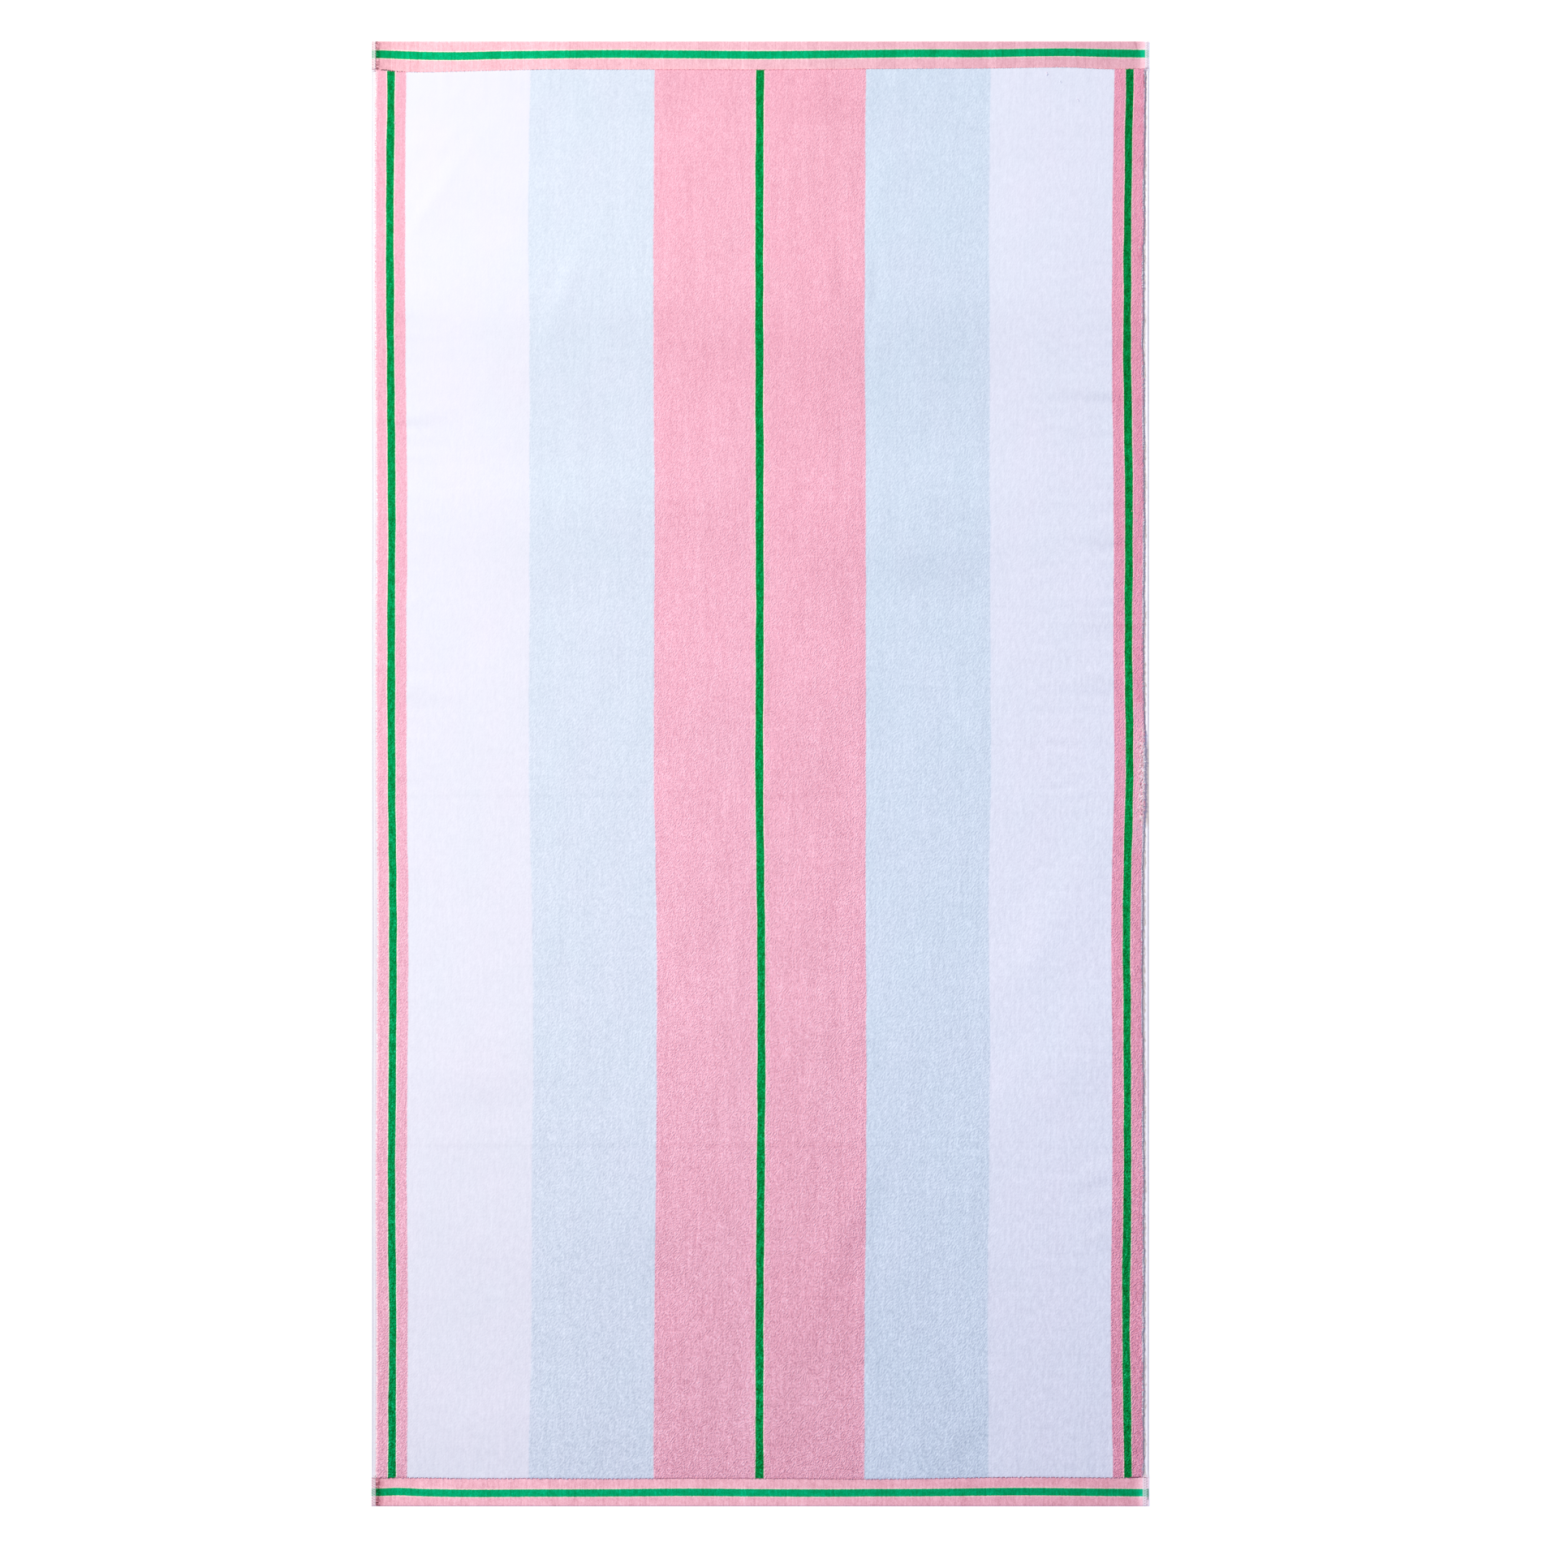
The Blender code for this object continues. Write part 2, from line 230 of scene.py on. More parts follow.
# How uneven the nap of each yarn lies.
UNEVEN = {"white": 0.38, "blue": 1.05, "pink": 1.90, "green": 1.60, "white_weave": 0.50}

# Soft patches painted lighter or darker: painted shade and highlight of the folds, creases, dimples and puckers, and
# streaks where the lie of the pile differs.
ShadeAndLie = namedtuple("ShadeAndLie", "name x y heading along across amount")
SHADES_AND_LIE = (
    ShadeAndLie("head, right of the line", 0.080, 0.776, 0, 0.064, 0.024, -0.022),
    ShadeAndLie("head, left of the line", -0.150, 0.790, 0, 0.130, 0.020, -0.006),
    ShadeAndLie("head, pale spot", 0.129, 0.694, 88, 0.036, 0.013, 0.016),
    ShadeAndLie("head swell", -0.080, 0.620, 0, 0.320, 0.070, 0.008),
    ShadeAndLie("streak 1", 0.088, 0.575, 90, 0.046, 0.0055, -0.022),
    ShadeAndLie("streak 2", 0.109, 0.580, 90, 0.040, 0.0055, 0.018),
    ShadeAndLie("streak 3", 0.129, 0.572, 90, 0.046, 0.0050, -0.024),
    ShadeAndLie("streak 4", 0.153, 0.590, 90, 0.036, 0.0050, -0.018),
    ShadeAndLie("below the upper ridge", -0.140, 0.470, -1, 0.330, 0.056, -0.0050),
    ShadeAndLie("below it, darkest", 0.120, 0.482, -4, 0.090, 0.026, -0.009),
    ShadeAndLie("below it, left", -0.180, 0.425, 2, 0.130, 0.018, -0.007),
    ShadeAndLie("pale strip, left", -0.200, 0.340, 0, 0.200, 0.025, 0.010),
    ShadeAndLie("pale strip, right", 0.225, 0.355, 2, 0.085, 0.036, 0.008),
    ShadeAndLie("dark strip, left", -0.180, 0.252, 0, 0.200, 0.042, -0.012),
    ShadeAndLie("dimple", 0.205, 0.232, 5, 0.060, 0.027, -0.034),
    ShadeAndLie("dimple's left end", 0.125, 0.246, 0, 0.050, 0.020, -0.012),
    ShadeAndLie("dimple's lower rim", 0.215, 0.196, 4, 0.060, 0.013, 0.010),
    ShadeAndLie("warp line, upper", -0.123, 0.197, 90, 0.055, 0.0026, -0.014),
    ShadeAndLie("warp line, lower", -0.123, -0.060, 90, 0.080, 0.0026, -0.010),
    ShadeAndLie("middle, pale", 0.064, 0.080, 0, 0.045, 0.028, 0.010),
    ShadeAndLie("middle, fleck", 0.236, 0.066, -58, 0.022, 0.008, 0.026),
    ShadeAndLie("middle, dark streak", 0.132, 0.030, 89, 0.046, 0.0065, -0.022),
    ShadeAndLie("middle, pale streak", 0.112, -0.050, 91, 0.055, 0.0080, 0.011),
    ShadeAndLie("lower, dark streak", 0.129, -0.158, 88, 0.032, 0.0055, -0.018),
    ShadeAndLie("slanting fold, bright", 0.230, -0.260, 49, 0.170, 0.024, 0.005),
    ShadeAndLie("slanting fold, dark", 0.210, -0.300, 44, 0.110, 0.022, -0.006),
    ShadeAndLie("second slanting fold, bright", 0.325, -0.305, 47, 0.120, 0.022, 0.017),
    ShadeAndLie("second slanting fold, dark", 0.360, -0.372, 44, 0.080, 0.018, -0.009),
    ShadeAndLie("left white, above the crease", -0.315, -0.372, 1, 0.080, 0.020, -0.012),
    ShadeAndLie("left white, below the crease", -0.320, -0.450, 0, 0.090, 0.018, -0.007),
    ShadeAndLie("inner fold, bright head", 0.105, -0.420, 80, 0.040, 0.020, 0.020),
    ShadeAndLie("inner fold, dark", 0.098, -0.570, 69, 0.125, 0.012, -0.034),
    ShadeAndLie("inner fold, tail", 0.070, -0.640, 60, 0.060, 0.014, -0.010),
    ShadeAndLie("foot, dark patch", -0.149, -0.561, 8, 0.075, 0.036, -0.014),
    ShadeAndLie("foot, left white", -0.340, -0.745, 0, 0.090, 0.090, 0.018),
    ShadeAndLie("slanting fold, shadow side", 0.310, -0.238, 57, 0.090, 0.022, 0.012),
    ShadeAndLie("foot, pale strip", -0.220, -0.722, 0, 0.210, 0.026, 0.010),
    ShadeAndLie("foot, by the line", -0.013, -0.730, 86, 0.055, 0.013, 0.060),
    ShadeAndLie("foot, pale, right", 0.090, -0.727, 75, 0.040, 0.022, 0.018),
    ShadeAndLie("foot, dark, right", 0.232, -0.780, 42, 0.036, 0.013, -0.060),
    ShadeAndLie("foot, dark, middle", 0.027, -0.775, 10, 0.024, 0.016, -0.030),
    ShadeAndLie("foot, dark, left", -0.185, -0.786, 85, 0.022, 0.012, -0.022),
    ShadeAndLie("along the foot", 0.000, -0.812, 0, 0.600, 0.022, -0.010),
    ShadeAndLie("left side, pinch 1", -0.412, 0.407, 2, 0.024, 0.0055, -0.030),
    ShadeAndLie("left side, pinch 2", -0.412, 0.090, 1, 0.030, 0.0050, -0.026),
    ShadeAndLie("left side, pinch 3", -0.416, 0.530, 3, 0.020, 0.0050, -0.020),
    ShadeAndLie("right side, pinch 1", 0.388, 0.437, -4, 0.040, 0.0055, -0.040),
    ShadeAndLie("right side, pinch 2", 0.396, 0.268, -3, 0.028, 0.0065, -0.034),
    ShadeAndLie("right side, pinch 3", 0.396, 0.106, 2, 0.030, 0.0050, -0.030),
    ShadeAndLie("right side, pinch 6", 0.392, 0.172, 1, 0.034, 0.0045, -0.024),
    ShadeAndLie("right side, pinch 7", 0.386, 0.590, 14, 0.036, 0.0050, -0.018),
    ShadeAndLie("right side, pinch 8", 0.380, 0.392, 3, 0.040, 0.0045, -0.018),
    ShadeAndLie("right side, pinch 4", 0.384, -0.476, 22, 0.022, 0.0070, -0.030),
    ShadeAndLie("right side, pinch 5", 0.392, -0.540, 18, 0.020, 0.0065, -0.028),
    ShadeAndLie("half-way crease, left", -0.240, -0.0255, 0.3, 0.170, 0.0021, -0.020),
    ShadeAndLie("half-way crease, middle", 0.030, -0.0265, 0.3, 0.026, 0.0034, -0.060),
    ShadeAndLie("half-way crease, right", 0.340, -0.0200, 0.6, 0.070, 0.0024, 0.018),
    ShadeAndLie("lower crease, left", -0.250, -0.4310, 0, 0.170, 0.0030, -0.030),
    ShadeAndLie("lower crease, middle", 0.040, -0.4320, 0, 0.160, 0.0030, -0.028),
    ShadeAndLie("lower crease, right", 0.370, -0.4330, 0.4, 0.060, 0.0022, -0.026),
)
# Painted light and shade in broad bands along the whole towel, from head to foot.
Tone = namedtuple("Tone", "y amount")
PAINTED_TONES = (
    Tone(0.84, -0.008), Tone(0.78, -0.002), Tone(0.70, 0.004), Tone(0.60, 0.008),
    Tone(0.556, 0.008), Tone(0.526, -0.004), Tone(0.46, 0.000), Tone(0.36, 0.012),
    Tone(0.24, 0.014), Tone(0.12, 0.022), Tone(0.00, 0.026), Tone(-0.14, 0.034),
    Tone(-0.30, 0.036), Tone(-0.42, 0.026), Tone(-0.55, 0.012), Tone(-0.68, 0.000),
    Tone(-0.76, -0.010), Tone(-0.84, -0.018),
)  # fmt: skip


# ================================================================ cloth shape
def ease(t):
    return t * t * (3 - 2 * t)


def cloudy(x, y, size_x, size_y, seed):
    """Smooth noise from -1 to 1, with features of about size_x by size_y."""
    rng = np.random.default_rng(seed)
    gx, gy = (x + 0.6) / size_x, (y + 1.1) / size_y
    lattice = rng.uniform(-1, 1, (int(2.2 / size_y) + 3, int(1.2 / size_x) + 3))
    ix, iy = np.floor(gx).astype(int), np.floor(gy).astype(int)
    fx, fy = ease(gx - ix), ease(gy - iy)
    low = lattice[iy, ix] * (1 - fx) + lattice[iy, ix + 1] * fx
    high = lattice[iy + 1, ix] * (1 - fx) + lattice[iy + 1, ix + 1] * fx
    return low * (1 - fy) + high * fy


def soft_table(at, places, values):
    """A smooth curve through the table's values, level past its ends."""
    order = np.argsort(places)
    p, q = np.asarray(places, float)[order], np.asarray(values, float)[order]
    slope = np.gradient(q, p)
    at = np.clip(at, p[0], p[-1])
    k = np.clip(np.searchsorted(p, at, side="right") - 1, 0, len(p) - 2)
    run = p[k + 1] - p[k]
    t = (at - p[k]) / run
    return (
        (1 + 2 * t) * (1 - t) ** 2 * q[k]
        + t * (1 - t) ** 2 * run * slope[k]
        + t**2 * (3 - 2 * t) * q[k + 1]
        + t**2 * (t - 1) * run * slope[k + 1]
    )


def stray(u, y):
    """How far the cloth at u strays to the right at y."""
    lines = []
    for name in DRIFT_OF_BORDER:
        if name is None:
            lines.append(np.zeros_like(y))
        else:
            lines.append(
                0.001
                * soft_table(y, [d.y for d in DRIFTS], [getattr(d, name) for d in DRIFTS])
            )
    lines = np.stack(lines)
    k = np.clip(np.searchsorted(BORDERS, u, side="right") - 1, 0, len(BORDERS) - 2)
    t = (u - BORDERS[k]) / (BORDERS[k + 1] - BORDERS[k])
    before = np.take_along_axis(lines, k[None], 0)[0]
    after = np.take_along_axis(lines, k[None] + 1, 0)[0]
    return before * (1 - t) + after * t


def sway(x, v):
    """How far the cloth at v, at either end, sways towards the head at x."""
    total = np.zeros_like(v)
    for table, edge, pile, line, way in (
        (HEAD_SWAY, LENGTH / 2, PILE_HEAD, LENGTH / 2 - HEAD_BAND[0] - HEAD_BAND[1] / 2, 1),
        (FOOT_SWAY, -LENGTH / 2, PILE_FOOT, -LENGTH / 2 + FOOT_BAND[0] + FOOT_BAND[1] / 2, -1),
    ):
        of_line = 0.001 * soft_table(x, [s.x / 1000 for s in table], [s.line for s in table])
        of_pile = 0.001 * soft_table(x, [s.x / 1000 for s in table], [s.pile for s in table])
        inward = way * (edge - v)
        stops = [0.0, way * (edge - line) - 0.0045, way * (edge - line) + 0.0045,
                 way * (edge - pile), way * (edge - pile) + 0.070]  # fmt: skip
        shares_line = np.interp(inward, stops, [0, 1, 1, 0, 0])
        shares_pile = np.interp(inward, stops, [0, 0, 0, 1, 0])
        total = total + shares_line * of_line + shares_pile * of_pile
    return total


def lift_of(x, y):
    """Height of the underside over the ground, as in the model."""
    total = np.zeros_like(x)
    for f in FOLDS:
        c, s = math.cos(math.radians(f.heading)), math.sin(math.radians(f.heading))
        dx, dy = x - f.x, y - f.y
        along, across = (dx * c + dy * s) / f.along, (dy * c - dx * s) / f.across
        total += f.height * np.exp(-(along**2) - across**2)
    low = total - CONTACT
    return np.where(low > 0, low, 0.0)


def wrinkles_of(x, y):
    """Fine wrinkles, and the slight unevenness of the shearing."""
    total = np.zeros_like(x)
    for i, w in enumerate(WRINKLES):
        c, s = math.cos(math.radians(w.heading)), math.sin(math.radians(w.heading))
        dx, dy = x - w.x, y - w.y
        along, across = dx * c + dy * s, dy * c - dx * s
        bend = 0.35 * w.pitch * cloudy(x, y, 0.045, 0.060, 40 + i)
        strength = 0.65 + 0.55 * cloudy(x, y, 0.070, 0.035, 60 + i)
        total += (
            w.height
            * strength
            * np.exp(-((along / w.along) ** 2) - (across / w.across) ** 2)
            * np.cos(2 * math.pi * (across + bend) / w.pitch)
        )
    for f in CREASES:
        c, s = math.cos(math.radians(f.heading)), math.sin(math.radians(f.heading))
        dx, dy = x - f.x, y - f.y
        bend = 0.0012 * cloudy(x, y, 0.040, 0.5, 9)
        along, across = (dx * c + dy * s) / f.along, (dy * c - dx * s + bend) / f.across
        uneven = 0.7 + 0.5 * cloudy(x, y, 0.030, 0.4, 8)
        total += f.height * uneven * np.exp(-(along**4) - across**2)
    # Short gathers where the hems draw the cloth in.
    for edge, reach, high, seed in ((PILE_HEAD, 0.030, 0.00013, 22), (PILE_FOOT, 0.048, 0.00024, 23)):
        near = np.exp(-(((y - edge) / reach) ** 2))
        total += high * near * (cloudy(x, y, 0.0110, 0.5, seed) + 0.5 * cloudy(x, y, 0.0046, 0.5, seed + 2))
    # The nap lies in soft streaks: along the towel in the dyed stripes, across it in the white ones.
    white = np.interp(
        x,
        (-0.43, -0.41, -0.27, -0.25, 0.26, 0.28, 0.41, 0.43),
        (0.3, 1.0, 1.0, 0.0, 0.0, 1.0, 1.0, 0.3),
    )
    lengthwise = (
        0.000024 * cloudy(x, y, 0.0068, 0.0170, 3)
        + 0.000040 * cloudy(x, y, 0.0150, 0.0330, 4)
        + 0.000014 * cloudy(x, y, 0.0054, 0.0064, 5)
    )
    crosswise = 0.000016 * cloudy(x, y, 0.0220, 0.0075, 6) + 0.000024 * cloudy(
        x, y, 0.0460, 0.0160, 7
    )
    total += lengthwise * (1 - 0.75 * white) + crosswise * (0.25 + 0.75 * white)
    total += 0.000040 * cloudy(x, y, 0.0400, 0.0560, 10)
    return total


def shade_and_lie_of(u, x, y):
    """How much painted light and shade (of the folds, creases, dimples and puckers, and in broad bands along the towel)
    and the uneven lie of the pile lighten it, as a share of its colour.
    """
    wavy = y + 0.010 * cloudy(x, y, 0.160, 0.060, 24)
    total = soft_table(wavy, [t.y for t in PAINTED_TONES], [t.amount for t in PAINTED_TONES])
    for f in SHADES_AND_LIE:
        c, s = math.cos(math.radians(f.heading)), math.sin(math.radians(f.heading))
        dx, dy = x - f.x, y - f.y
        rough = 1 + 0.35 * cloudy(x, y, 0.012, 0.020, 26)
        along, across = (dx * c + dy * s) / f.along, (dy * c - dx * s) / f.across
        total += f.amount * rough * np.exp(-(along**2) - across**2)
    k = np.clip(np.searchsorted(BORDERS, u, side="right") - 1, 0, len(STRIPES) - 1)
    uneven = np.array([UNEVEN[s.yarn] for s in STRIPES])[k]
    uneven = uneven * (0.85 + 1.1 * u / WIDTH + 0.45 * (0.5 - y / LENGTH))
    streaks = (
        0.0050 * cloudy(x, y, 0.0048, 0.0340, 27)
        + 0.0052 * cloudy(x, y, 0.0100, 0.0560, 28)
        + 0.0040 * cloudy(x, y, 0.0062, 0.0088, 29)
        + 0.0028 * cloudy(x, y, 0.0200, 0.0640, 30)
        + 0.0024 * cloudy(x, y, 0.0034, 0.1800, 31)
    )
    # Painted shade of broad, soft folds.
    painted_fold_shade = 0.0045 * cloudy(x, y, 0.0700, 0.0260, 32) + 0.0030 * cloudy(x, y, 0.0400, 0.0120, 34)
    return total + streaks * uneven + painted_fold_shade


# Height of the flat margins (mm) by distance from the outer edge (mm): two
# corded ribs with a furrow between them. The right-hand one is one wide rib, sunk beside the
# pile.
LEFT_SELVEDGE = ((0.0, 0.95), (0.35, 1.35), (1.3, 1.60), (2.1, 1.35), (2.55, 1.15),
                 (3.1, 1.42), (4.2, 1.62), (5.2, 1.40), (6.0, 1.30))  # fmt: skip
RIGHT_SELVEDGE = ((0.0, 0.60), (0.3, 0.93), (0.8, 1.24), (1.4, 1.48), (2.0, 1.56), (2.8, 1.38),
                  (3.6, 1.08), (4.4, 0.88), (5.4, 0.80), (6.4, 0.80), (7.7, 0.85))  # fmt: skip


def rounded(distance):
    """0 at the pile's cut edge, and 1 from SHOULDER inwards, along a quarter circle."""
    t = np.clip(distance / SHOULDER, 0, 1)
    return np.sqrt(1 - (1 - t) ** 2)


def loose(y):
    """Where the right-hand pile has pulled loose over the selvedge: 0 to 1."""
    return np.clip((0.060 - y) / 0.018, 0, 1) * np.clip((y + 0.064) / 0.018, 0, 1)


def edge_stray(y, side):
    """How far the pile's cut edge strays outwards over the selvedge at y."""
    if side < 0:
        return 0.00022 * cloudy(y * 0, y, 0.5, 0.013, 15) + 0.00012 * cloudy(y * 0, y, 0.5, 0.0052, 16)
    return (
        0.00055 * cloudy(y * 0, y, 0.5, 0.016, 17)
        + 0.00032 * cloudy(y * 0, y, 0.5, 0.0055, 18)
        + 0.00090 * loose(y)
    )


def upper_height(u, v, x, y):
    """Height of the upper side over the ground, and how much of it is pile."""
    left = np.interp(1000 * u, *zip(*LEFT_SELVEDGE)) / 1000
    from_right = 1000 * (WIDTH - u)
    right = np.interp(from_right, *zip(*RIGHT_SELVEDGE)) / 1000
    uneven_right = 0.00015 * cloudy(x, y, 0.05, 0.012, 11) + 0.00007 * cloudy(x, y, 0.05, 0.0052, 13)
    right = right + uneven_right * np.clip((from_right - 1.0) / 3, 0, 1)
    sunk = np.interp(from_right, (0.0, 1.6, 3.0, 7.7), (0.42, 0.55, 0.80, 0.90)) / 1000
    right = right + (sunk - right) * 0.9 * loose(y)
    left = left + 0.00006 * cloudy(x, y, 0.05, 0.014, 12)
    low = np.where(u < WIDTH / 2, left, right)
    inside_x = np.minimum(u - PILE_LEFT + edge_stray(y, -1), PILE_RIGHT - u + edge_stray(y, 1))
    inside_y = np.minimum(PILE_HEAD - v, v - PILE_FOOT)
    near_end = np.clip(1 - inside_y / 0.006, 0, 1)
    low = low + (BAND - low) * near_end
    uneven = 0.00012 * cloudy(x, y, 0.008, 0.010, 14) * np.clip(1 - inside_x / 0.012, 0, 1)
    tall = PILE + uneven + 0.00075 * loose(y) * np.clip(1 - (PILE_RIGHT - u) / 0.009, 0, 1)
    share = rounded(inside_x) * rounded(inside_y)
    return lift_of(x, y) + low + (tall - low) * share + wrinkles_of(x, y) * share, share


def placed(u, v):
    """x and y of the cloth at u, v."""
    y = v + sway(u - WIDTH / 2, v)
    return u - WIDTH / 2 + stray(u, y), y


# ============================================================== mesh building
def facing(points):
    """Unit normals of a grid of points, smooth over the whole of it."""
    down = np.gradient(points, axis=0)
    over = np.gradient(points, axis=1)
    n = np.cross(over, down)
    return n / np.maximum(np.linalg.norm(n, axis=-1, keepdims=True), 1e-12)


def linked(mesh, name):
    thing = bpy.data.objects.new(name, mesh)
    bpy.context.scene.collection.objects.link(thing)
    return thing


def mesh_from(name, points, faces, maps, normals=None, levels=None):
    """A smooth mesh of equal-sided faces. maps is {name: places of every face corner},
    and levels is {name: a number for every point}."""
    faces = np.asarray(faces, np.int32)
    sides = faces.shape[1]
    mesh = bpy.data.meshes.new(name)
    mesh.vertices.add(len(points))
    mesh.vertices.foreach_set("co", np.asarray(points, np.float32).ravel())
    mesh.loops.add(faces.size)
    mesh.loops.foreach_set("vertex_index", faces.ravel())
    mesh.polygons.add(len(faces))
    mesh.polygons.foreach_set("loop_start", np.arange(0, faces.size, sides, dtype=np.int32))
    mesh.update(calc_edges=True)
    for kind, places in maps.items():
        layer = mesh.uv_layers.new(name=kind)
        layer.uv.foreach_set("vector", np.asarray(places, np.float32).ravel())
    mesh.polygons.foreach_set("use_smooth", np.ones(len(faces), bool))
    for kind, values in (levels or {}).items():
        layer = mesh.attributes.new(name=kind, type="FLOAT", domain="POINT")
        layer.data.foreach_set("value", np.asarray(values, np.float32).ravel())
    if normals is not None:
        mesh.normals_split_custom_set_from_vertices(np.asarray(normals, float).tolist())
    mesh.validate()
    mesh.update()
    return mesh


def grid_faces(rows, columns, over=True):
    """Four-sided faces of a grid, facing up, or down if over is false."""
    i, j = np.meshgrid(np.arange(rows - 1), np.arange(columns - 1), indexing="ij")
    a = (i * columns + j).ravel()
    quads = np.stack([a, a + 1, a + columns + 1, a + columns], 1)
    return quads if over else quads[:, ::-1]


def folded_map(faces, across, along, parts):
    """A bake map for a long strip: it is cut in parts along its length, laid side by side.
    across and along run from 0 to 1 over the strip, for every point."""
    a, b = across[faces], along[faces]
    part = np.clip((b.mean(1) * parts).astype(int), 0, parts - 1)[:, None]
    rim = 0.006
    within = b * parts - part
    s = (part + rim * 2 + a * (1 - 4 * rim)) / parts
    t = rim + within * (1 - 2 * rim)
    return np.stack([s, t], -1).reshape(-1, 2)


def strip(name, points, cloth, normals, over=True, parts=4, levels=None):
    """A piece of the shell from its grid of points and of places in the flat cloth."""
    rows, columns = points.shape[:2]
    faces = grid_faces(rows, columns, over)
    flat = cloth.reshape(-1, 2)
    across = np.broadcast_to(np.linspace(0, 1, columns), (rows, columns)).ravel()
    measured = cloth[:, columns // 2, 1]
    along = (measured - measured.min()) / np.ptp(measured)
    along = np.repeat(along, columns)
    width = np.cumsum(np.r_[0, np.linalg.norm(np.diff(points[rows // 2], axis=0), axis=1)])
    across = np.tile(width / width[-1], rows)
    mesh = mesh_from(
        name,
        points.reshape(-1, 3),
        faces,
        {"Cloth": flat[faces], "OFBake": folded_map(faces, across, along, parts)},
        normals.reshape(-1, 3),
        levels,
    )
    return linked(mesh, name)


def stations(stops, cell):
    """Places from the first stop to the last, through every stop, about cell apart."""
    out = [stops[0]]
    for a, b in zip(stops, stops[1:]):
        n = max(1, round((b - a) / cell))
        out += list(np.linspace(a, b, n + 1)[1:])
    return np.array(out)


# ============================================================ the upper side
FACE_PIECES = (
    # name, and first and last border
    ("face_border_left", 0, 4),
    ("face_white_left", 4, 5),
    ("face_blue_left", 5, 6),
    ("face_pink_left", 6, 8),
    ("face_pink_right", 8, 9),
    ("face_blue_right", 9, 10),
    ("face_white_right", 10, 11),
    ("face_border_right", 11, 15),
)
# The outer edge of a selvedge, from the ground up: how far in, and how high.
EDGE_WRAP = ((0.00014, 0.00014), (0.00002, 0.00036), (0.0, 0.00062))


def face_columns():
    """u of every grid line of the upper side."""
    lines = []
    for k, stripe in enumerate(STRIPES):
        a, b = float(BORDERS[k]), float(BORDERS[k + 1])
        if "selvedge" in stripe.name:
            cuts = stations([a, b], 0.00045)
        elif k == 1:
            cuts = stations([a, a + 0.0024], 0.0004)
            cuts = np.r_[cuts, stations([a + 0.0024, b], 0.0020)[1:]]
        elif k == len(STRIPES) - 2:
            cuts = stations([a, b - 0.0030], 0.0020)
            cuts = np.r_[cuts, stations([b - 0.0030, b], 0.0004)[1:]]
        else:
            cuts = stations([a, b], CELL)
        lines.append(cuts if k == 0 else cuts[1:])
    return np.concatenate(lines)


def face_rows():
    near = (0.0, 0.0003, 0.0008, SHOULDER)
    creases = []
    for y in sorted({round(f.y, 3) for f in CREASES}):
        creases += [y - 0.009, y + 0.009]
    stops = [PILE_FOOT + n for n in near] + [PILE_HEAD - n for n in near[::-1]]
    rows = stations(sorted(stops + creases), CELL)
    fine = [rows]
    for a, b in zip(creases[::2], creases[1::2]):
        within = rows[(rows >= a - 1e-6) & (rows <= b + 1e-6)]
        fine.append((within[1:] + within[:-1]) / 2)
    return np.unique(np.concatenate(fine))


def build_face():
    u, v = face_columns(), face_rows()
    grid_u, grid_v = np.meshgrid(u, v)
    x, y = placed(grid_u, grid_v)
    z, share = upper_height(grid_u, grid_v, x, y)
    points = np.stack([x, y, z], -1)
    cloth = np.stack([grid_u, grid_v], -1)
    wraps = []
    for side, way in ((0, 1), (-1, -1)):
        column = points[:, side].copy()
        ground = lift_of(column[:, 0], column[:, 1])
        made = []
        for inset, high in EDGE_WRAP:
            low = column.copy()
            low[:, 0] += way * inset
            low[:, 2] = np.minimum(ground + high, column[:, 2] - 0.0001)
            made.append(low)
        wraps.append(made if side == 0 else made[::-1])
    wrap = len(EDGE_WRAP)
    points = np.concatenate(
        [np.stack(wraps[0], 1), points, np.stack(wraps[1], 1)], axis=1
    )
    cloth = np.concatenate(
        [np.repeat(cloth[:, :1], wrap, 1), cloth, np.repeat(cloth[:, -1:], wrap, 1)], axis=1
    )
    cloth[:, :wrap, 0] -= np.array([0.0012, 0.0008, 0.0004])
    cloth[:, -wrap:, 0] += np.array([0.0004, 0.0008, 0.0012])
    share = np.pad(share, ((0, 0), (wrap, wrap)))
    lay = np.pad(shade_and_lie_of(grid_u, x, y), ((0, 0), (wrap, wrap)), mode="edge")
    normals = facing(points)
    pieces = []
    for name, first, last in FACE_PIECES:
        a = 0 if first == 0 else int(np.argmin(abs(u - BORDERS[first]))) + wrap
        b = (
            points.shape[1] - 1
            if last == len(BORDERS) - 1
            else int(np.argmin(abs(u - BORDERS[last]))) + wrap
        )
        part = slice(a, b + 1)
        pieces.append(
            strip(
                name,
                points[:, part],
                cloth[:, part],
                normals[:, part],
                parts=8 if "border" in name else 4,
                levels={"pile": share[:, part], "lay": lay[:, part]},
            )
        )
    return pieces


# ============================================================= the underside
def build_back():
    u = stations([0.0, 0.0016, WIDTH - 0.0016, WIDTH], BACK_CELL)
    v = stations(
        [PILE_FOOT - 0.0002, PILE_FOOT + 0.0011, PILE_HEAD - 0.0011, PILE_HEAD + 0.0002],
        BACK_CELL,
    )
    grid_u, grid_v = np.meshgrid(u, v)
    x, y = placed(grid_u, grid_v)
    inset = EDGE_WRAP[0][0]
    x[:, 0] += inset
    x[:, -1] -= inset
    loops = 0.00010 + 0.00009 * cloudy(x, y, 0.011, 0.013, 21)
    loops[:, 0] = loops[:, -1] = EDGE_WRAP[0][1]
    loops[0] = loops[-1] = 0.00055
    points = np.stack([x, y, lift_of(x, y) + loops], -1)
    cloth = np.stack([grid_u, grid_v], -1)
    return strip("underside", points, cloth, -facing(points), over=False, parts=2)


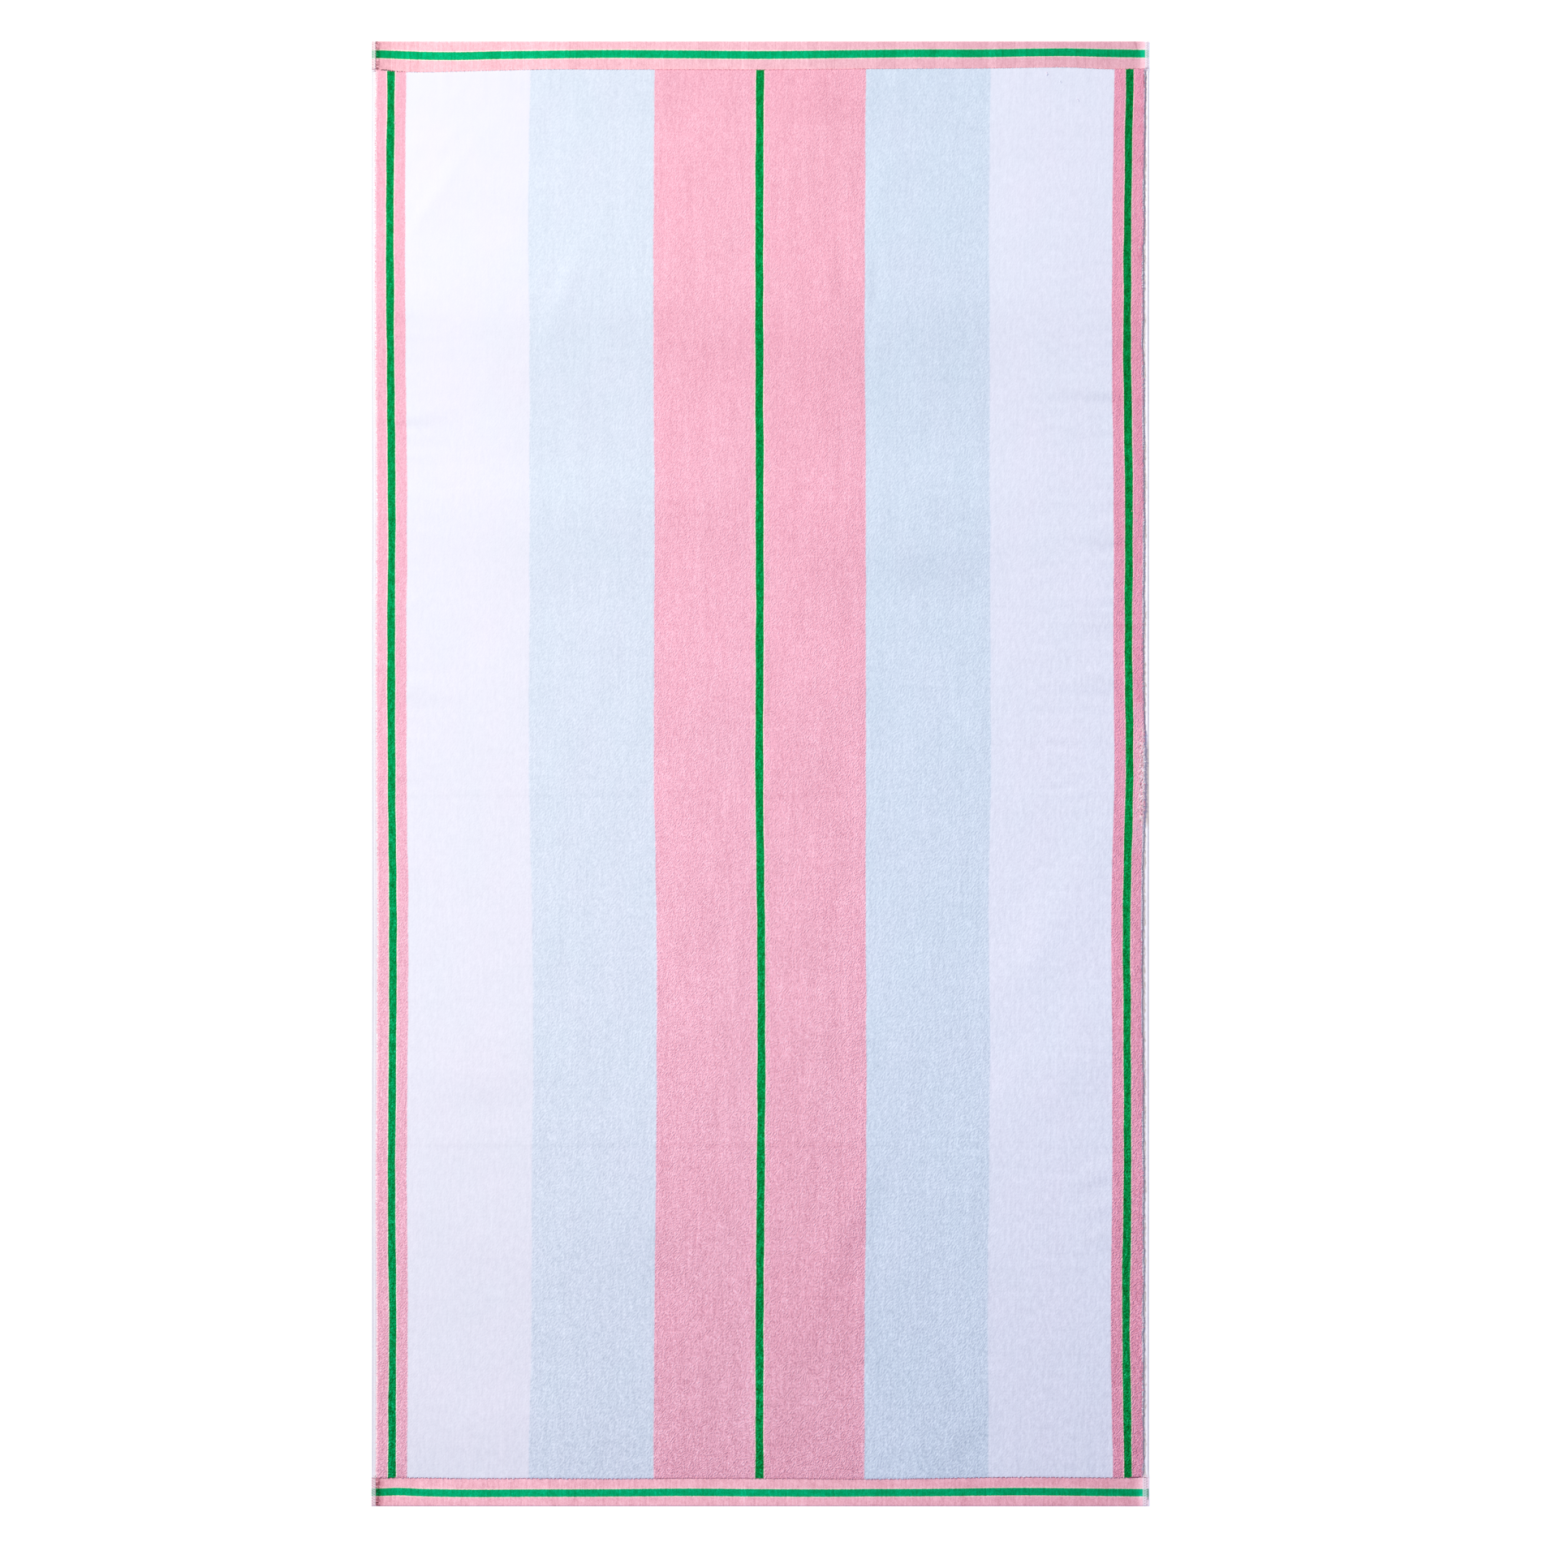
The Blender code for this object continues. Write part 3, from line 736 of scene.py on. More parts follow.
# ================================================================== the hems
def hem_path():
    """Middle line of the turned cloth, seen from the side: (inwards from the fold,
    height, how far along the cloth), from under the pile's edge round to the
    raw edge inside."""
    half = WEAVE / 2
    top, low, inner = BAND - half, half, BAND / 2
    outer_bend, inner_bend = (top - low) / 2, (inner - low) / 2
    way = []
    for t in np.r_[0.0349, 0.0336, np.linspace(0.0326, 0.0030, 13), 0.0018]:
        way.append((t, top))
    for turn in np.linspace(0, math.pi, 9):
        way.append((BAND / 2 - outer_bend * math.sin(turn), inner + outer_bend * math.cos(turn)))
    for t in (0.0020, 0.0060, 0.0120, 0.0180, 0.0240, 0.0285, 0.0308):
        way.append((t, low))
    for turn in np.linspace(0, math.pi, 6):
        way.append((0.0316 + inner_bend * math.sin(turn), (low + inner) / 2 - inner_bend * math.cos(turn)))
    for t in (0.0300, 0.0230, 0.0150, 0.0080):
        way.append((t, inner))
    way = np.array(way)
    run = np.cumsum(np.r_[0, np.linalg.norm(np.diff(way, axis=0), axis=1)])
    return way, run


def build_hem(name, end):
    """end is 1 at the head and -1 at the foot."""
    band = HEAD_BAND if end > 0 else FOOT_BAND
    depth = sum(band) - 0.0326
    way, run = hem_path()
    tangent = np.gradient(way, axis=0)
    tangent /= np.linalg.norm(tangent, axis=1, keepdims=True)
    outward = np.stack([tangent[:, 1], -tangent[:, 0]], 1)
    # run is measured from the pile's edge; the visible band keeps its own place in the cloth
    v_out = LENGTH / 2 - way[0, 0] - depth + run
    u = stations([0.0, 0.0060, WIDTH - 0.0077, WIDTH], 0.0022)
    u = np.unique(np.r_[u, np.linspace(0, 0.0075, 13), WIDTH - np.linspace(0, 0.0092, 15)])
    sides = []
    for half in (WEAVE / 2, -WEAVE / 2):
        t = way[:, 0] - outward[:, 0] * half * -1
        z = way[:, 1] + outward[:, 1] * half * -1
        grid_u, grid_t = np.meshgrid(u, t)
        flat_v = end * np.minimum(LENGTH / 2, LENGTH / 2 - (grid_t + depth))
        flat_v = end * (LENGTH / 2 - np.maximum(grid_t, 0.0) - depth * np.clip(grid_t / 0.006, 0, 1))
        x = grid_u - WIDTH / 2
        y = flat_v + sway(x, flat_v)
        over = end * (LENGTH / 2) - y
        y = np.where(grid_t < 0, end * (LENGTH / 2 - grid_t), y)
        x = x + stray(grid_u, np.clip(y, -LENGTH / 2, LENGTH / 2))
        thin = np.minimum(grid_u, WIDTH - grid_u)
        press = 0.80 + 0.20 * np.clip(thin / 0.0045, 0, 1)
        rib = 0.00007 * np.cos(2 * math.pi * (thin - 0.0013) / 0.0029) * (thin < 0.0061)
        upper = z[:, None] > BAND * 0.66
        tuck = hem_tucks(grid_u, end) * upper
        height = z[:, None] * press + rib * upper + tuck
        lift = lift_of(x, np.clip(y, -LENGTH / 2, LENGTH / 2))
        sides.append(
            (
                np.stack([x, y, np.maximum(height + lift, 0.00002)], -1),
                np.stack([grid_u, np.broadcast_to(end * v_out[:, None], grid_u.shape)], -1),
            )
        )
    (outer, cloth_outer), (inner, cloth_inner) = sides
    rows, columns = outer.shape[:2]
    loop = np.concatenate([outer, inner[::-1]], 0)
    cloth = np.concatenate([cloth_outer, cloth_inner[::-1]], 0)
    faces = grid_faces(2 * rows, columns)
    seam = []
    for a, b in (((2 * rows - 1), 0),):
        j = np.arange(columns - 1)
        seam.append(np.stack([a * columns + j, a * columns + j + 1, b * columns + j + 1, b * columns + j], 1))
    caps = []
    for j, flip in ((0, False), (columns - 1, True)):
        i = np.arange(rows - 1)
        o, o2 = i * columns + j, (i + 1) * columns + j
        n, n2 = (2 * rows - 1 - i) * columns + j, (2 * rows - 2 - i) * columns + j
        quad = np.stack([o, o2, n2, n], 1)
        caps.append(quad[:, ::-1] if flip else quad)
    faces = np.concatenate([faces, *seam, *caps])
    if end > 0:
        faces = faces[:, ::-1]
    points = loop.reshape(-1, 3)
    flat = cloth.reshape(-1, 2)
    # Bake map: the outer side's rows fill most of it, in four parts along the towel's width.
    across = np.tile(u / WIDTH, 2 * rows)
    ring = np.r_[np.linspace(0, 0.8, rows), np.linspace(0.82, 1.0, rows)]
    ring[:15] = np.linspace(0, 0.62, 15)
    ring[15:rows] = np.linspace(0.62, 0.8, rows - 15 + 1)[1:]
    along = np.repeat(ring, columns)
    a, b = along[faces], across[faces]
    part = np.clip((b.mean(1) * 4).astype(int), 0, 3)[:, None]
    s = (part + 0.012 + a * 0.976) / 4
    t = 0.006 + (b * 4 - part) * 0.988
    mesh = mesh_from(
        name,
        points,
        faces,
        {"Cloth": flat[faces], "OFBake": np.stack([s, t], -1).reshape(-1, 2)},
    )
    mesh.set_sharp_from_angle(angle=math.radians(50))
    return linked(mesh, name)


def hem_tucks(u, end):
    """Fine creases across the hem, where the turned cloth is caught by the stitches."""
    rng = np.random.default_rng(80 + end)
    total = np.zeros_like(u)
    for place in rng.uniform(0.012, WIDTH - 0.012, 46):
        wide, deep = rng.uniform(0.0016, 0.0042), rng.uniform(-0.00013, 0.00009)
        total += deep * np.exp(-(((u - place) / wide) ** 2))
    return total + 0.00005 * cloudy(u - WIDTH / 2, u * 0, 0.016, 0.5, 90 + end)


# ========================================================== joined fine parts
def joined(name, points, faces, cloth, bake):
    """One mesh from arrays: points (n, k, 3), faces of one of them (m, 3 or 4), cloth (n, 2)
    the place of each in the flat cloth, and bake (n, k, 2)."""
    n, k = points.shape[:2]
    every = (np.arange(n)[:, None, None] * k + faces[None]).reshape(-1, faces.shape[1])
    flat = np.repeat(cloth, k, 0)
    mesh = mesh_from(
        name,
        points.reshape(-1, 3),
        every,
        {"Cloth": flat[every], "OFBake": bake.reshape(-1, 2)[every]},
    )
    return linked(mesh, name)


def bake_cells(n, k_places):
    """Places in a bake map for n small shapes: one little cell each, row by row."""
    side = math.ceil(math.sqrt(n))
    i = np.arange(n)
    corner = np.stack([i % side, i // side], 1)[:, None]
    return (corner + 0.12 + 0.76 * k_places[None]) / side


def tufts(name, roots, lean, wide, tall, cloth, seed):
    """Short tufts of pile: roots (n, 3), the way each leans (n, 3), width and height (n)."""
    rng = np.random.default_rng(seed)
    n, sides = len(roots), 5
    lean = lean / np.linalg.norm(lean, axis=1, keepdims=True)
    helper = np.tile([0.13, 0.97, 0.21], (n, 1))
    p = np.cross(lean, helper)
    p /= np.linalg.norm(p, axis=1, keepdims=True)
    q = np.cross(lean, p)
    turn = rng.uniform(0, 2 * math.pi, n)
    rings = []
    for level, share in ((0.0, 0.62), (0.48, 1.0), (0.86, 0.60)):
        ring = []
        for s in range(sides):
            a = turn + 2 * math.pi * s / sides
            r = 0.5 * wide * share
            ring.append(
                roots
                + lean * (tall * level)[:, None]
                + p * (r * np.cos(a))[:, None]
                + q * (r * np.sin(a))[:, None]
            )
        rings += ring
    tip = roots + lean * (tall * 1.05)[:, None]
    points = np.stack(rings + [tip], 1)
    faces = []
    for level in range(2):
        for s in range(sides):
            a, b = level * sides + s, level * sides + (s + 1) % sides
            faces += [(a, b, b + sides), (a, b + sides, a + sides)]
    for s in range(sides):
        faces.append((2 * sides + s, 2 * sides + (s + 1) % sides, 3 * sides))
    k = np.array(
        [(s / sides, level / 3) for level in range(3) for s in range(sides)] + [(0.5, 1.0)]
    )
    return joined(name, points, np.array(faces), cloth, bake_cells(n, k))


def edge_tufts():
    """Pile along its cut edges: over the bands at both ends, and over the selvedges."""
    made = []
    rng = np.random.default_rng(31)
    for name, end, line in (("pile_edge_head", 1, PILE_HEAD), ("pile_edge_foot", -1, PILE_FOOT)):
        u = np.arange(PILE_LEFT + 0.0004, PILE_RIGHT - 0.0003, 0.00086)
        u = u + rng.uniform(-0.0003, 0.0003, len(u))
        bare = (u > 0.0100) & (u < 0.0335) if end > 0 else u > WIDTH - 0.0225
        u = u[~bare]
        v = np.full(len(u), line - end * 0.00095) + rng.uniform(-0.00020, 0.00016, len(u))
        x, y = placed(u, v)
        z = upper_height(u, v, x, y)[0] - 0.00055
        lean = np.stack(
            [rng.normal(0, 0.34, len(u)), end * rng.uniform(0.75, 1.35, len(u)), rng.uniform(0.15, 0.75, len(u))], 1
        )
        # The hem's stitches hold the edge back every few millimetres.
        pull = (0.66 if end > 0 else 0.50) + (0.36 if end > 0 else 0.85) * abs(np.sin(math.pi * (u - 0.0012) / STITCH))
        wide = rng.uniform(0.0008, 0.0014, len(u))
        tall = rng.uniform(0.0010, 0.0018, len(u)) * pull
        cloth = np.stack([u, np.full(len(u), line - end * 0.004)], 1)
        made.append(tufts(name, np.stack([x, y, z], 1), lean, wide, tall, cloth, 33 + end))
    for name, way, line in (("pile_edge_left", -1, PILE_LEFT), ("pile_edge_right", 1, PILE_RIGHT)):
        v = np.arange(PILE_FOOT + 0.0006, PILE_HEAD - 0.0005, 0.00094)
        v = v + rng.uniform(-0.0003, 0.0003, len(v))
        y = v + sway(np.full(len(v), line - WIDTH / 2), v)
        u = line + way * (edge_stray(y, way) - 0.00095) + rng.uniform(-0.0002, 0.0002, len(v))
        x, y = placed(u, v)
        z = upper_height(u, v, x, y)[0] - 0.00055
        rough = loose(y) if way > 0 else np.zeros(len(v))
        lean = np.stack(
            [way * rng.uniform(0.7, 1.3, len(v)), rng.normal(0, 0.40, len(v)), rng.uniform(0.10, 0.75, len(v))], 1
        )
        wide = rng.uniform(0.0008, 0.0013, len(v))
        tall = rng.uniform(0.0008, 0.0016, len(v)) + rough * rng.uniform(0, 0.0009, len(v))
        if way > 0:
            tall = tall * (1.0 + 0.35 * cloudy(v * 0, y, 0.5, 0.0042, 19))
        cloth = np.stack([np.full(len(v), line - way * 0.0030), v], 1)
        if way < 0:
            # Most of them show the white ground on this side.
            cloth[rng.uniform(0, 1, len(v)) < 0.65, 0] = PILE_LEFT + 0.0004
        else:
            # White fibres stand along much of this edge.
            fibre = cloudy(v * 0, y, 0.5, 0.024, 20) + rng.uniform(-0.5, 0.5, len(v)) > -0.15
            cloth[fibre, 0] = BORDERS[14] + 0.0035
        made.append(tufts(name, np.stack([x, y, z], 1), lean, wide, tall, cloth, 37 + way))
    return made


def hooped(name, a, b, high, thick, cloth, lean):
    """Loops of yarn that stand up between a and b (n, 3), leaning towards lean (n, 3)."""
    n, rings, sides = len(a), 8, 5
    along = b - a
    across = np.cross(along, [0.0, 0.0, 1.0])
    across /= np.maximum(np.linalg.norm(across, axis=1, keepdims=True), 1e-9)
    points = []
    for r in range(rings):
        t = r / (rings - 1)
        bow = math.sin(math.pi * t)
        middle = a + along * (0.5 - 0.62 * math.cos(math.pi * t)) + lean * (high * bow)[:, None]
        slant = along * (0.62 * math.pi * math.sin(math.pi * t)) + lean * (
            high * math.pi * math.cos(math.pi * t)
        )[:, None]
        slant = slant / np.maximum(np.linalg.norm(slant, axis=1, keepdims=True), 1e-9)
        side = np.cross(slant, across)
        side /= np.maximum(np.linalg.norm(side, axis=1, keepdims=True), 1e-9)
        for s in range(sides):
            angle = 2 * math.pi * s / sides
            radius = thick / 2 * (0.75 + 0.25 * bow)
            points.append(
                middle
                + across * (radius * math.cos(angle))[:, None]
                + side * (radius * math.sin(angle))[:, None]
            )
    points = np.stack(points, 1)
    faces = []
    for r in range(rings - 1):
        for s in range(sides):
            c, d = r * sides + s, r * sides + (s + 1) % sides
            faces.append((c, d, d + sides, c + sides))
    k = np.array([(r / (rings - 1), s / sides) for r in range(rings) for s in range(sides)])
    return joined(name, points, np.array(faces), cloth, bake_cells(n, k))


def rough_loops():
    """Loops pulled out of the pile at the right-hand edge, a little below the middle of its length,
    and single hairs of yarn that stand out on the face."""
    rng = np.random.default_rng(71)
    n = 330
    v = rng.uniform(-0.060, 0.056, n)
    reach = rng.beta(1.0, 2.2, n) * 0.0115
    u = PILE_RIGHT + 0.0004 - reach + 0.0010 * rng.uniform(-1, 1, n)
    thin = rng.uniform(0, 1, n) < 0.25 + 0.75 * (1 - reach / 0.0115)
    u, v = u[thin], v[thin]
    # Two more small patches higher up, and single hairs elsewhere.
    spots = (
        (1403, 306, 3, 0.004), (1401, 620, 5, 0.007), (1394, 628, 4, 0.005), (1398, 642, 4, 0.004),
        (1383, 640, 3, 0.004), (1405, 700, 4, 0.005), (1402, 712, 3, 0.006), (1408, 760, 3, 0.005),
        (1404, 1008, 7, 0.006), (1399, 1020, 4, 0.005), (1404, 1440, 6, 0.006), (1408, 1580, 4, 0.004),
        (1406, 1622, 4, 0.005), (1288, 93, 3, 0.003), (1305, 103, 3, 0.003), (1327, 124, 3, 0.004),
        (1396, 262, 3, 0.003), (487, 150, 2, 0.003), (1186, 1012, 2, 0.004), (1060, 1330, 2, 0.003),
    )  # fmt: skip
    for across, down, count, spread in spots:
        x, y = (across - 936.95) * 0.00094126, (953.65 - down) * 0.00094126
        u = np.r_[u, x + WIDTH / 2 + rng.uniform(-0.5, 0.5, count) * spread * 0.5]
        v = np.r_[v, y + rng.uniform(-0.5, 0.5, count) * spread]
    u = np.clip(u, 0.001, WIDTH - 0.0050)
    n = len(u)
    turn = rng.uniform(-0.9, 0.9, n) + math.pi / 2
    size = rng.uniform(0.0009, 0.0021, n)
    x, y = placed(u, v)
    z = upper_height(u, v, x, y)[0]
    half = np.stack([np.cos(turn), np.sin(turn), np.zeros(n)], 1) * (size / 2)[:, None]
    middle = np.stack([x, y, z - 0.00010], 1)
    lean = np.stack([rng.normal(0.35, 0.45, n), rng.normal(0, 0.5, n), np.full(n, 0.55)], 1)
    lean /= np.linalg.norm(lean, axis=1, keepdims=True)
    high = rng.uniform(0.0005, 0.0012, n)
    thick = rng.uniform(0.00030, 0.00052, n)
    return hooped("loose_loops", middle - half, middle + half, high, thick, np.stack([u, v], 1), lean)


def threads(name, a, b, thick, sag, cloth):
    """Short threads that dip in at both ends: from a (n, 3) to b (n, 3)."""
    n, rings, sides = len(a), 7, 6
    way = b - a
    way = way / np.linalg.norm(way, axis=1, keepdims=True)
    side = np.cross(way, np.array([0, 0, 1.0]))
    side /= np.linalg.norm(side, axis=1, keepdims=True)
    up = np.cross(side, way)
    points = []
    for r in range(rings):
        t = r / (rings - 1)
        bow = math.sin(math.pi * t)
        middle = a + (b - a) * t + up * (sag * (bow**0.6 - 0.55))[:, None]
        radius = thick / 2 * (0.35 + 0.65 * bow**0.5)
        for s in range(sides):
            angle = 2 * math.pi * s / sides + 0.9 * t
            points.append(
                middle
                + side * (radius * math.cos(angle))[:, None]
                + up * (radius * math.sin(angle))[:, None]
            )
    points = np.stack(points, 1)
    faces = []
    for r in range(rings - 1):
        for s in range(sides):
            c, d = r * sides + s, r * sides + (s + 1) % sides
            faces.append((c, d, d + sides, c + sides))
    for s in range(0, sides - 2, 2):
        faces.append((0, s + 3 if s + 3 < sides else 0, s + 2, s + 1) if s + 3 < sides else (0, 5, 4, 3))
    k = np.array([(r / (rings - 1), s / sides) for r in range(rings) for s in range(sides)])
    return joined(name, points, np.array(faces), cloth, bake_cells(n, k))


# Dark ends of thread that show singly: the place in the photograph's pixels, and the length.
Tick = namedtuple("Tick", "across down length slope")
TICKS = {
    1: (
        Tick(465.4, 86.0, 2.2, 0.0), Tick(470.3, 86.3, 1.3, 0.2), Tick(472.2, 86.0, 1.2, -0.3),
        Tick(474.2, 86.4, 1.4, 0.2), Tick(476.1, 86.0, 1.3, 0.0), Tick(479.3, 86.6, 1.1, 0.3),
        Tick(481.6, 87.0, 1.1, 0.0), Tick(484.0, 87.3, 1.1, 0.2), Tick(486.1, 87.6, 1.0, 0.0),
        Tick(490.0, 88.4, 1.6, 0.3), Tick(493.0, 89.0, 1.9, -0.8), Tick(495.2, 88.1, 1.8, 0.1),
        Tick(499.0, 88.6, 1.2, 0.2), Tick(1405.0, 86.0, 1.4, 0.9),
    ),
    -1: (
        Tick(1394.6, 1820.9, 3.2, 0.0), Tick(1398.2, 1820.7, 3.4, 0.1), Tick(1401.9, 1820.4, 3.2, 0.1),
        Tick(1405.2, 1819.9, 2.9, 0.2), Tick(470.5, 1820.4, 2.6, 0.1), Tick(475.5, 1820.0, 1.6, 0.3),
        Tick(492.0, 1819.6, 2.4, 0.6), Tick(497.0, 1820.0, 1.8, 0.2), Tick(501.0, 1819.8, 2.0, 0.0),
    ),
}  # fmt: skip


def hem_stitches():
    """The row of stitches that holds each hem, on both sides of the cloth."""
    made = []
    for name, end, line in (("stitches_head", 1, PILE_HEAD), ("stitches_foot", -1, PILE_FOOT)):
        rng = np.random.default_rng(51 + end)
        starts = np.arange(0.0012, WIDTH - 0.0060, STITCH)
        starts = starts + rng.uniform(-0.0004, 0.0004, len(starts))
        length = rng.uniform(0.0026, 0.0039, len(starts))
        a_all, b_all, cloth = [], [], []
        for below in (False, True):
            v = np.full(len(starts), line + end * (0.0016 if below else 0.0006))
            for where, keep in ((starts + 0.0006, a_all), (starts + 0.0006 + length, b_all)):
                x, y = placed(where, v + rng.normal(0, 0.00012, len(v)))
                high = 0.00010 if below else BAND + 0.00006
                keep.append(np.stack([x, y, lift_of(x, y) + high], 1))
            cloth.append(np.stack([starts, v], 1))
        thick = [rng.uniform(0.00045, 0.00065, 2 * len(starts))]
        for t in TICKS[end]:
            x, y = (t.across - 936.95) * 0.00094126, (953.65 - t.down) * 0.00094126
            half = 0.5 * t.length * 0.00094126
            z = BAND + 0.00050 + float(lift_of(np.array([x]), np.array([y]))[0])
            a_all.append(np.array([[x - half, y - t.slope * half, z]]))
            b_all.append(np.array([[x + half, y + t.slope * half, z]]))
            cloth.append(np.array([[x + WIDTH / 2, line + end * 0.004]]))
            thick.append(np.array([0.00125 if end > 0 else 0.00110]))
        a, b = np.concatenate(a_all), np.concatenate(b_all)
        thick = np.concatenate(thick)
        made.append(threads(name, a, b, thick, np.full(len(a), 0.00010), np.concatenate(cloth)))
    return made


# ================================================================= materials
class Graph:
    """A material's nodes, written as arithmetic."""

    def __init__(self, name):
        self.material = bpy.data.materials.new(name)
        self.material.use_nodes = True
        self.nodes = self.material.node_tree.nodes
        self.links = self.material.node_tree.links
        self.shader = self.nodes["Principled BSDF"]
        place = self.nodes.new("ShaderNodeUVMap")
        place.uv_map = "Cloth"
        self.cloth = place.outputs["UV"]
        split = self.nodes.new("ShaderNodeSeparateXYZ")
        self.links.new(self.cloth, split.inputs[0])
        self.u, self.v = split.outputs["X"], split.outputs["Y"]

    def put(self, socket, value):
        if isinstance(value, bpy.types.NodeSocket):
            self.links.new(value, socket)
        else:
            socket.default_value = value

    def math(self, operation, a, b=0.0, c=0.0):
        node = self.nodes.new("ShaderNodeMath")
        node.operation = operation
        for socket, value in zip(node.inputs, (a, b, c)):
            self.put(socket, value)
        return node.outputs[0]

    def add(self, a, b):
        return self.math("ADD", a, b)

    def times(self, a, b):
        return self.math("MULTIPLY", a, b)

    def plus_times(self, a, b, c):
        """a * b + c"""
        return self.math("MULTIPLY_ADD", a, b, c)

    def step(self, value, low, high):
        """0 below low and 1 above high, softly."""
        node = self.nodes.new("ShaderNodeMapRange")
        node.interpolation_type = "SMOOTHSTEP"
        self.put(node.inputs["Value"], value)
        self.put(node.inputs["From Min"], low)
        self.put(node.inputs["From Max"], high)
        return node.outputs["Result"]

    def ridge(self, value, centre, half, soft):
        """1 within half of the centre, and 0 past that, over the width soft."""
        away = self.math("ABSOLUTE", self.math("SUBTRACT", value, centre))
        return self.math("SUBTRACT", 1.0, self.step(away, half - soft / 2, half + soft / 2))

    def placed(self, size, turn, seed):
        node = self.nodes.new("ShaderNodeMapping")
        node.vector_type = "TEXTURE"
        self.links.new(self.cloth, node.inputs["Vector"])
        node.inputs["Location"].default_value = (0.013 * seed, -0.029 * seed, 0.0)
        node.inputs["Rotation"].default_value = (0.0, 0.0, math.radians(turn))
        node.inputs["Scale"].default_value = (size[0], size[1], 1.0)
        return node.outputs["Vector"]

    def noise(self, size, seed, turn=0.0, detail=0.0, rough=0.5):
        """Noise about 0, mostly between -1 and 1, with features of that size in metres."""
        node = self.nodes.new("ShaderNodeTexNoise")
        node.noise_dimensions = "2D"
        self.links.new(self.placed(size, turn, seed), node.inputs["Vector"])
        node.inputs["Scale"].default_value = 1.0
        node.inputs["Detail"].default_value = detail
        node.inputs["Roughness"].default_value = rough
        return self.plus_times(node.outputs[0], 3.2, -1.6)

    def cells(self, size, seed, feature="F1", turn=0.0, output="Distance"):
        node = self.nodes.new("ShaderNodeTexVoronoi")
        node.voronoi_dimensions = "2D"
        node.feature = feature
        self.links.new(self.placed(size, turn, seed), node.inputs["Vector"])
        node.inputs["Scale"].default_value = 1.0
        return node.outputs[output]

    def panels(self, value, size, feature="F1", output="Color"):
        """Uneven panels along one direction: each has its own random value."""
        node = self.nodes.new("ShaderNodeTexVoronoi")
        node.voronoi_dimensions = "1D"
        node.feature = feature
        self.links.new(self.times(value, 1 / size), node.inputs["W"])
        node.inputs["Scale"].default_value = 1.0
        return node.outputs[output]

    def wave(self, value, pitch, shift=0.0):
        return self.math("SINE", self.plus_times(value, 2 * math.pi / pitch, shift))

    def mix(self, share, a, b):
        node = self.nodes.new("ShaderNodeMix")
        node.data_type = "RGBA"
        self.put(node.inputs[0], share)
        self.put(node.inputs[6], a)
        self.put(node.inputs[7], b)
        return node.outputs[2]

    def scaled(self, colour, by):
        node = self.nodes.new("ShaderNodeVectorMath")
        node.operation = "SCALE"
        self.put(node.inputs[0], colour[:3] if isinstance(colour, tuple) else colour)
        self.put(node.inputs["Scale"], by)
        return node.outputs[0]

    def gamma(self, colour, power):
        node = self.nodes.new("ShaderNodeGamma")
        self.put(node.inputs[0], colour)
        self.put(node.inputs[1], power)
        return node.outputs[0]

    def tinted(self, colour, amount, red, green, blue):
        """The colour moved by amount times the three shares."""
        node = self.nodes.new("ShaderNodeCombineXYZ")
        for socket, share in zip(node.inputs, (red, green, blue)):
            self.put(socket, self.plus_times(amount, share, 1.0))
        product = self.nodes.new("ShaderNodeVectorMath")
        product.operation = "MULTIPLY"
        self.put(product.inputs[0], colour[:3] if isinstance(colour, tuple) else colour)
        self.links.new(node.outputs[0], product.inputs[1])
        return product.outputs[0]

    def shaded(self, colour, shade):
        """Yarn in a hollow is darker and deeper in colour, and its tips are paler."""
        return self.scaled(self.gamma(colour, self.plus_times(shade, -1.3, 1.0)), self.add(shade, 1.0))

    def level(self, name):
        node = self.nodes.new("ShaderNodeAttribute")
        node.attribute_name = name
        return node.outputs["Fac"]

    def finish(self, colour, roughness, height, distance, sheen=0.03, sheen_rough=0.40, specular=0.02):
        self.put(self.shader.inputs["Base Color"], colour)
        self.put(self.shader.inputs["Roughness"], roughness)
        bump = self.nodes.new("ShaderNodeBump")
        bump.inputs["Strength"].default_value = 1.0
        bump.inputs["Distance"].default_value = distance
        self.put(bump.inputs["Height"], height)
        self.links.new(bump.outputs[0], self.shader.inputs["Normal"])
        self.shader.inputs["Sheen Weight"].default_value = sheen
        self.shader.inputs["Sheen Roughness"].default_value = sheen_rough
        self.shader.inputs["Specular IOR Level"].default_value = specular
        return self.material


def colour_of(yarn):
    return (*YARNS[yarn], 1.0)


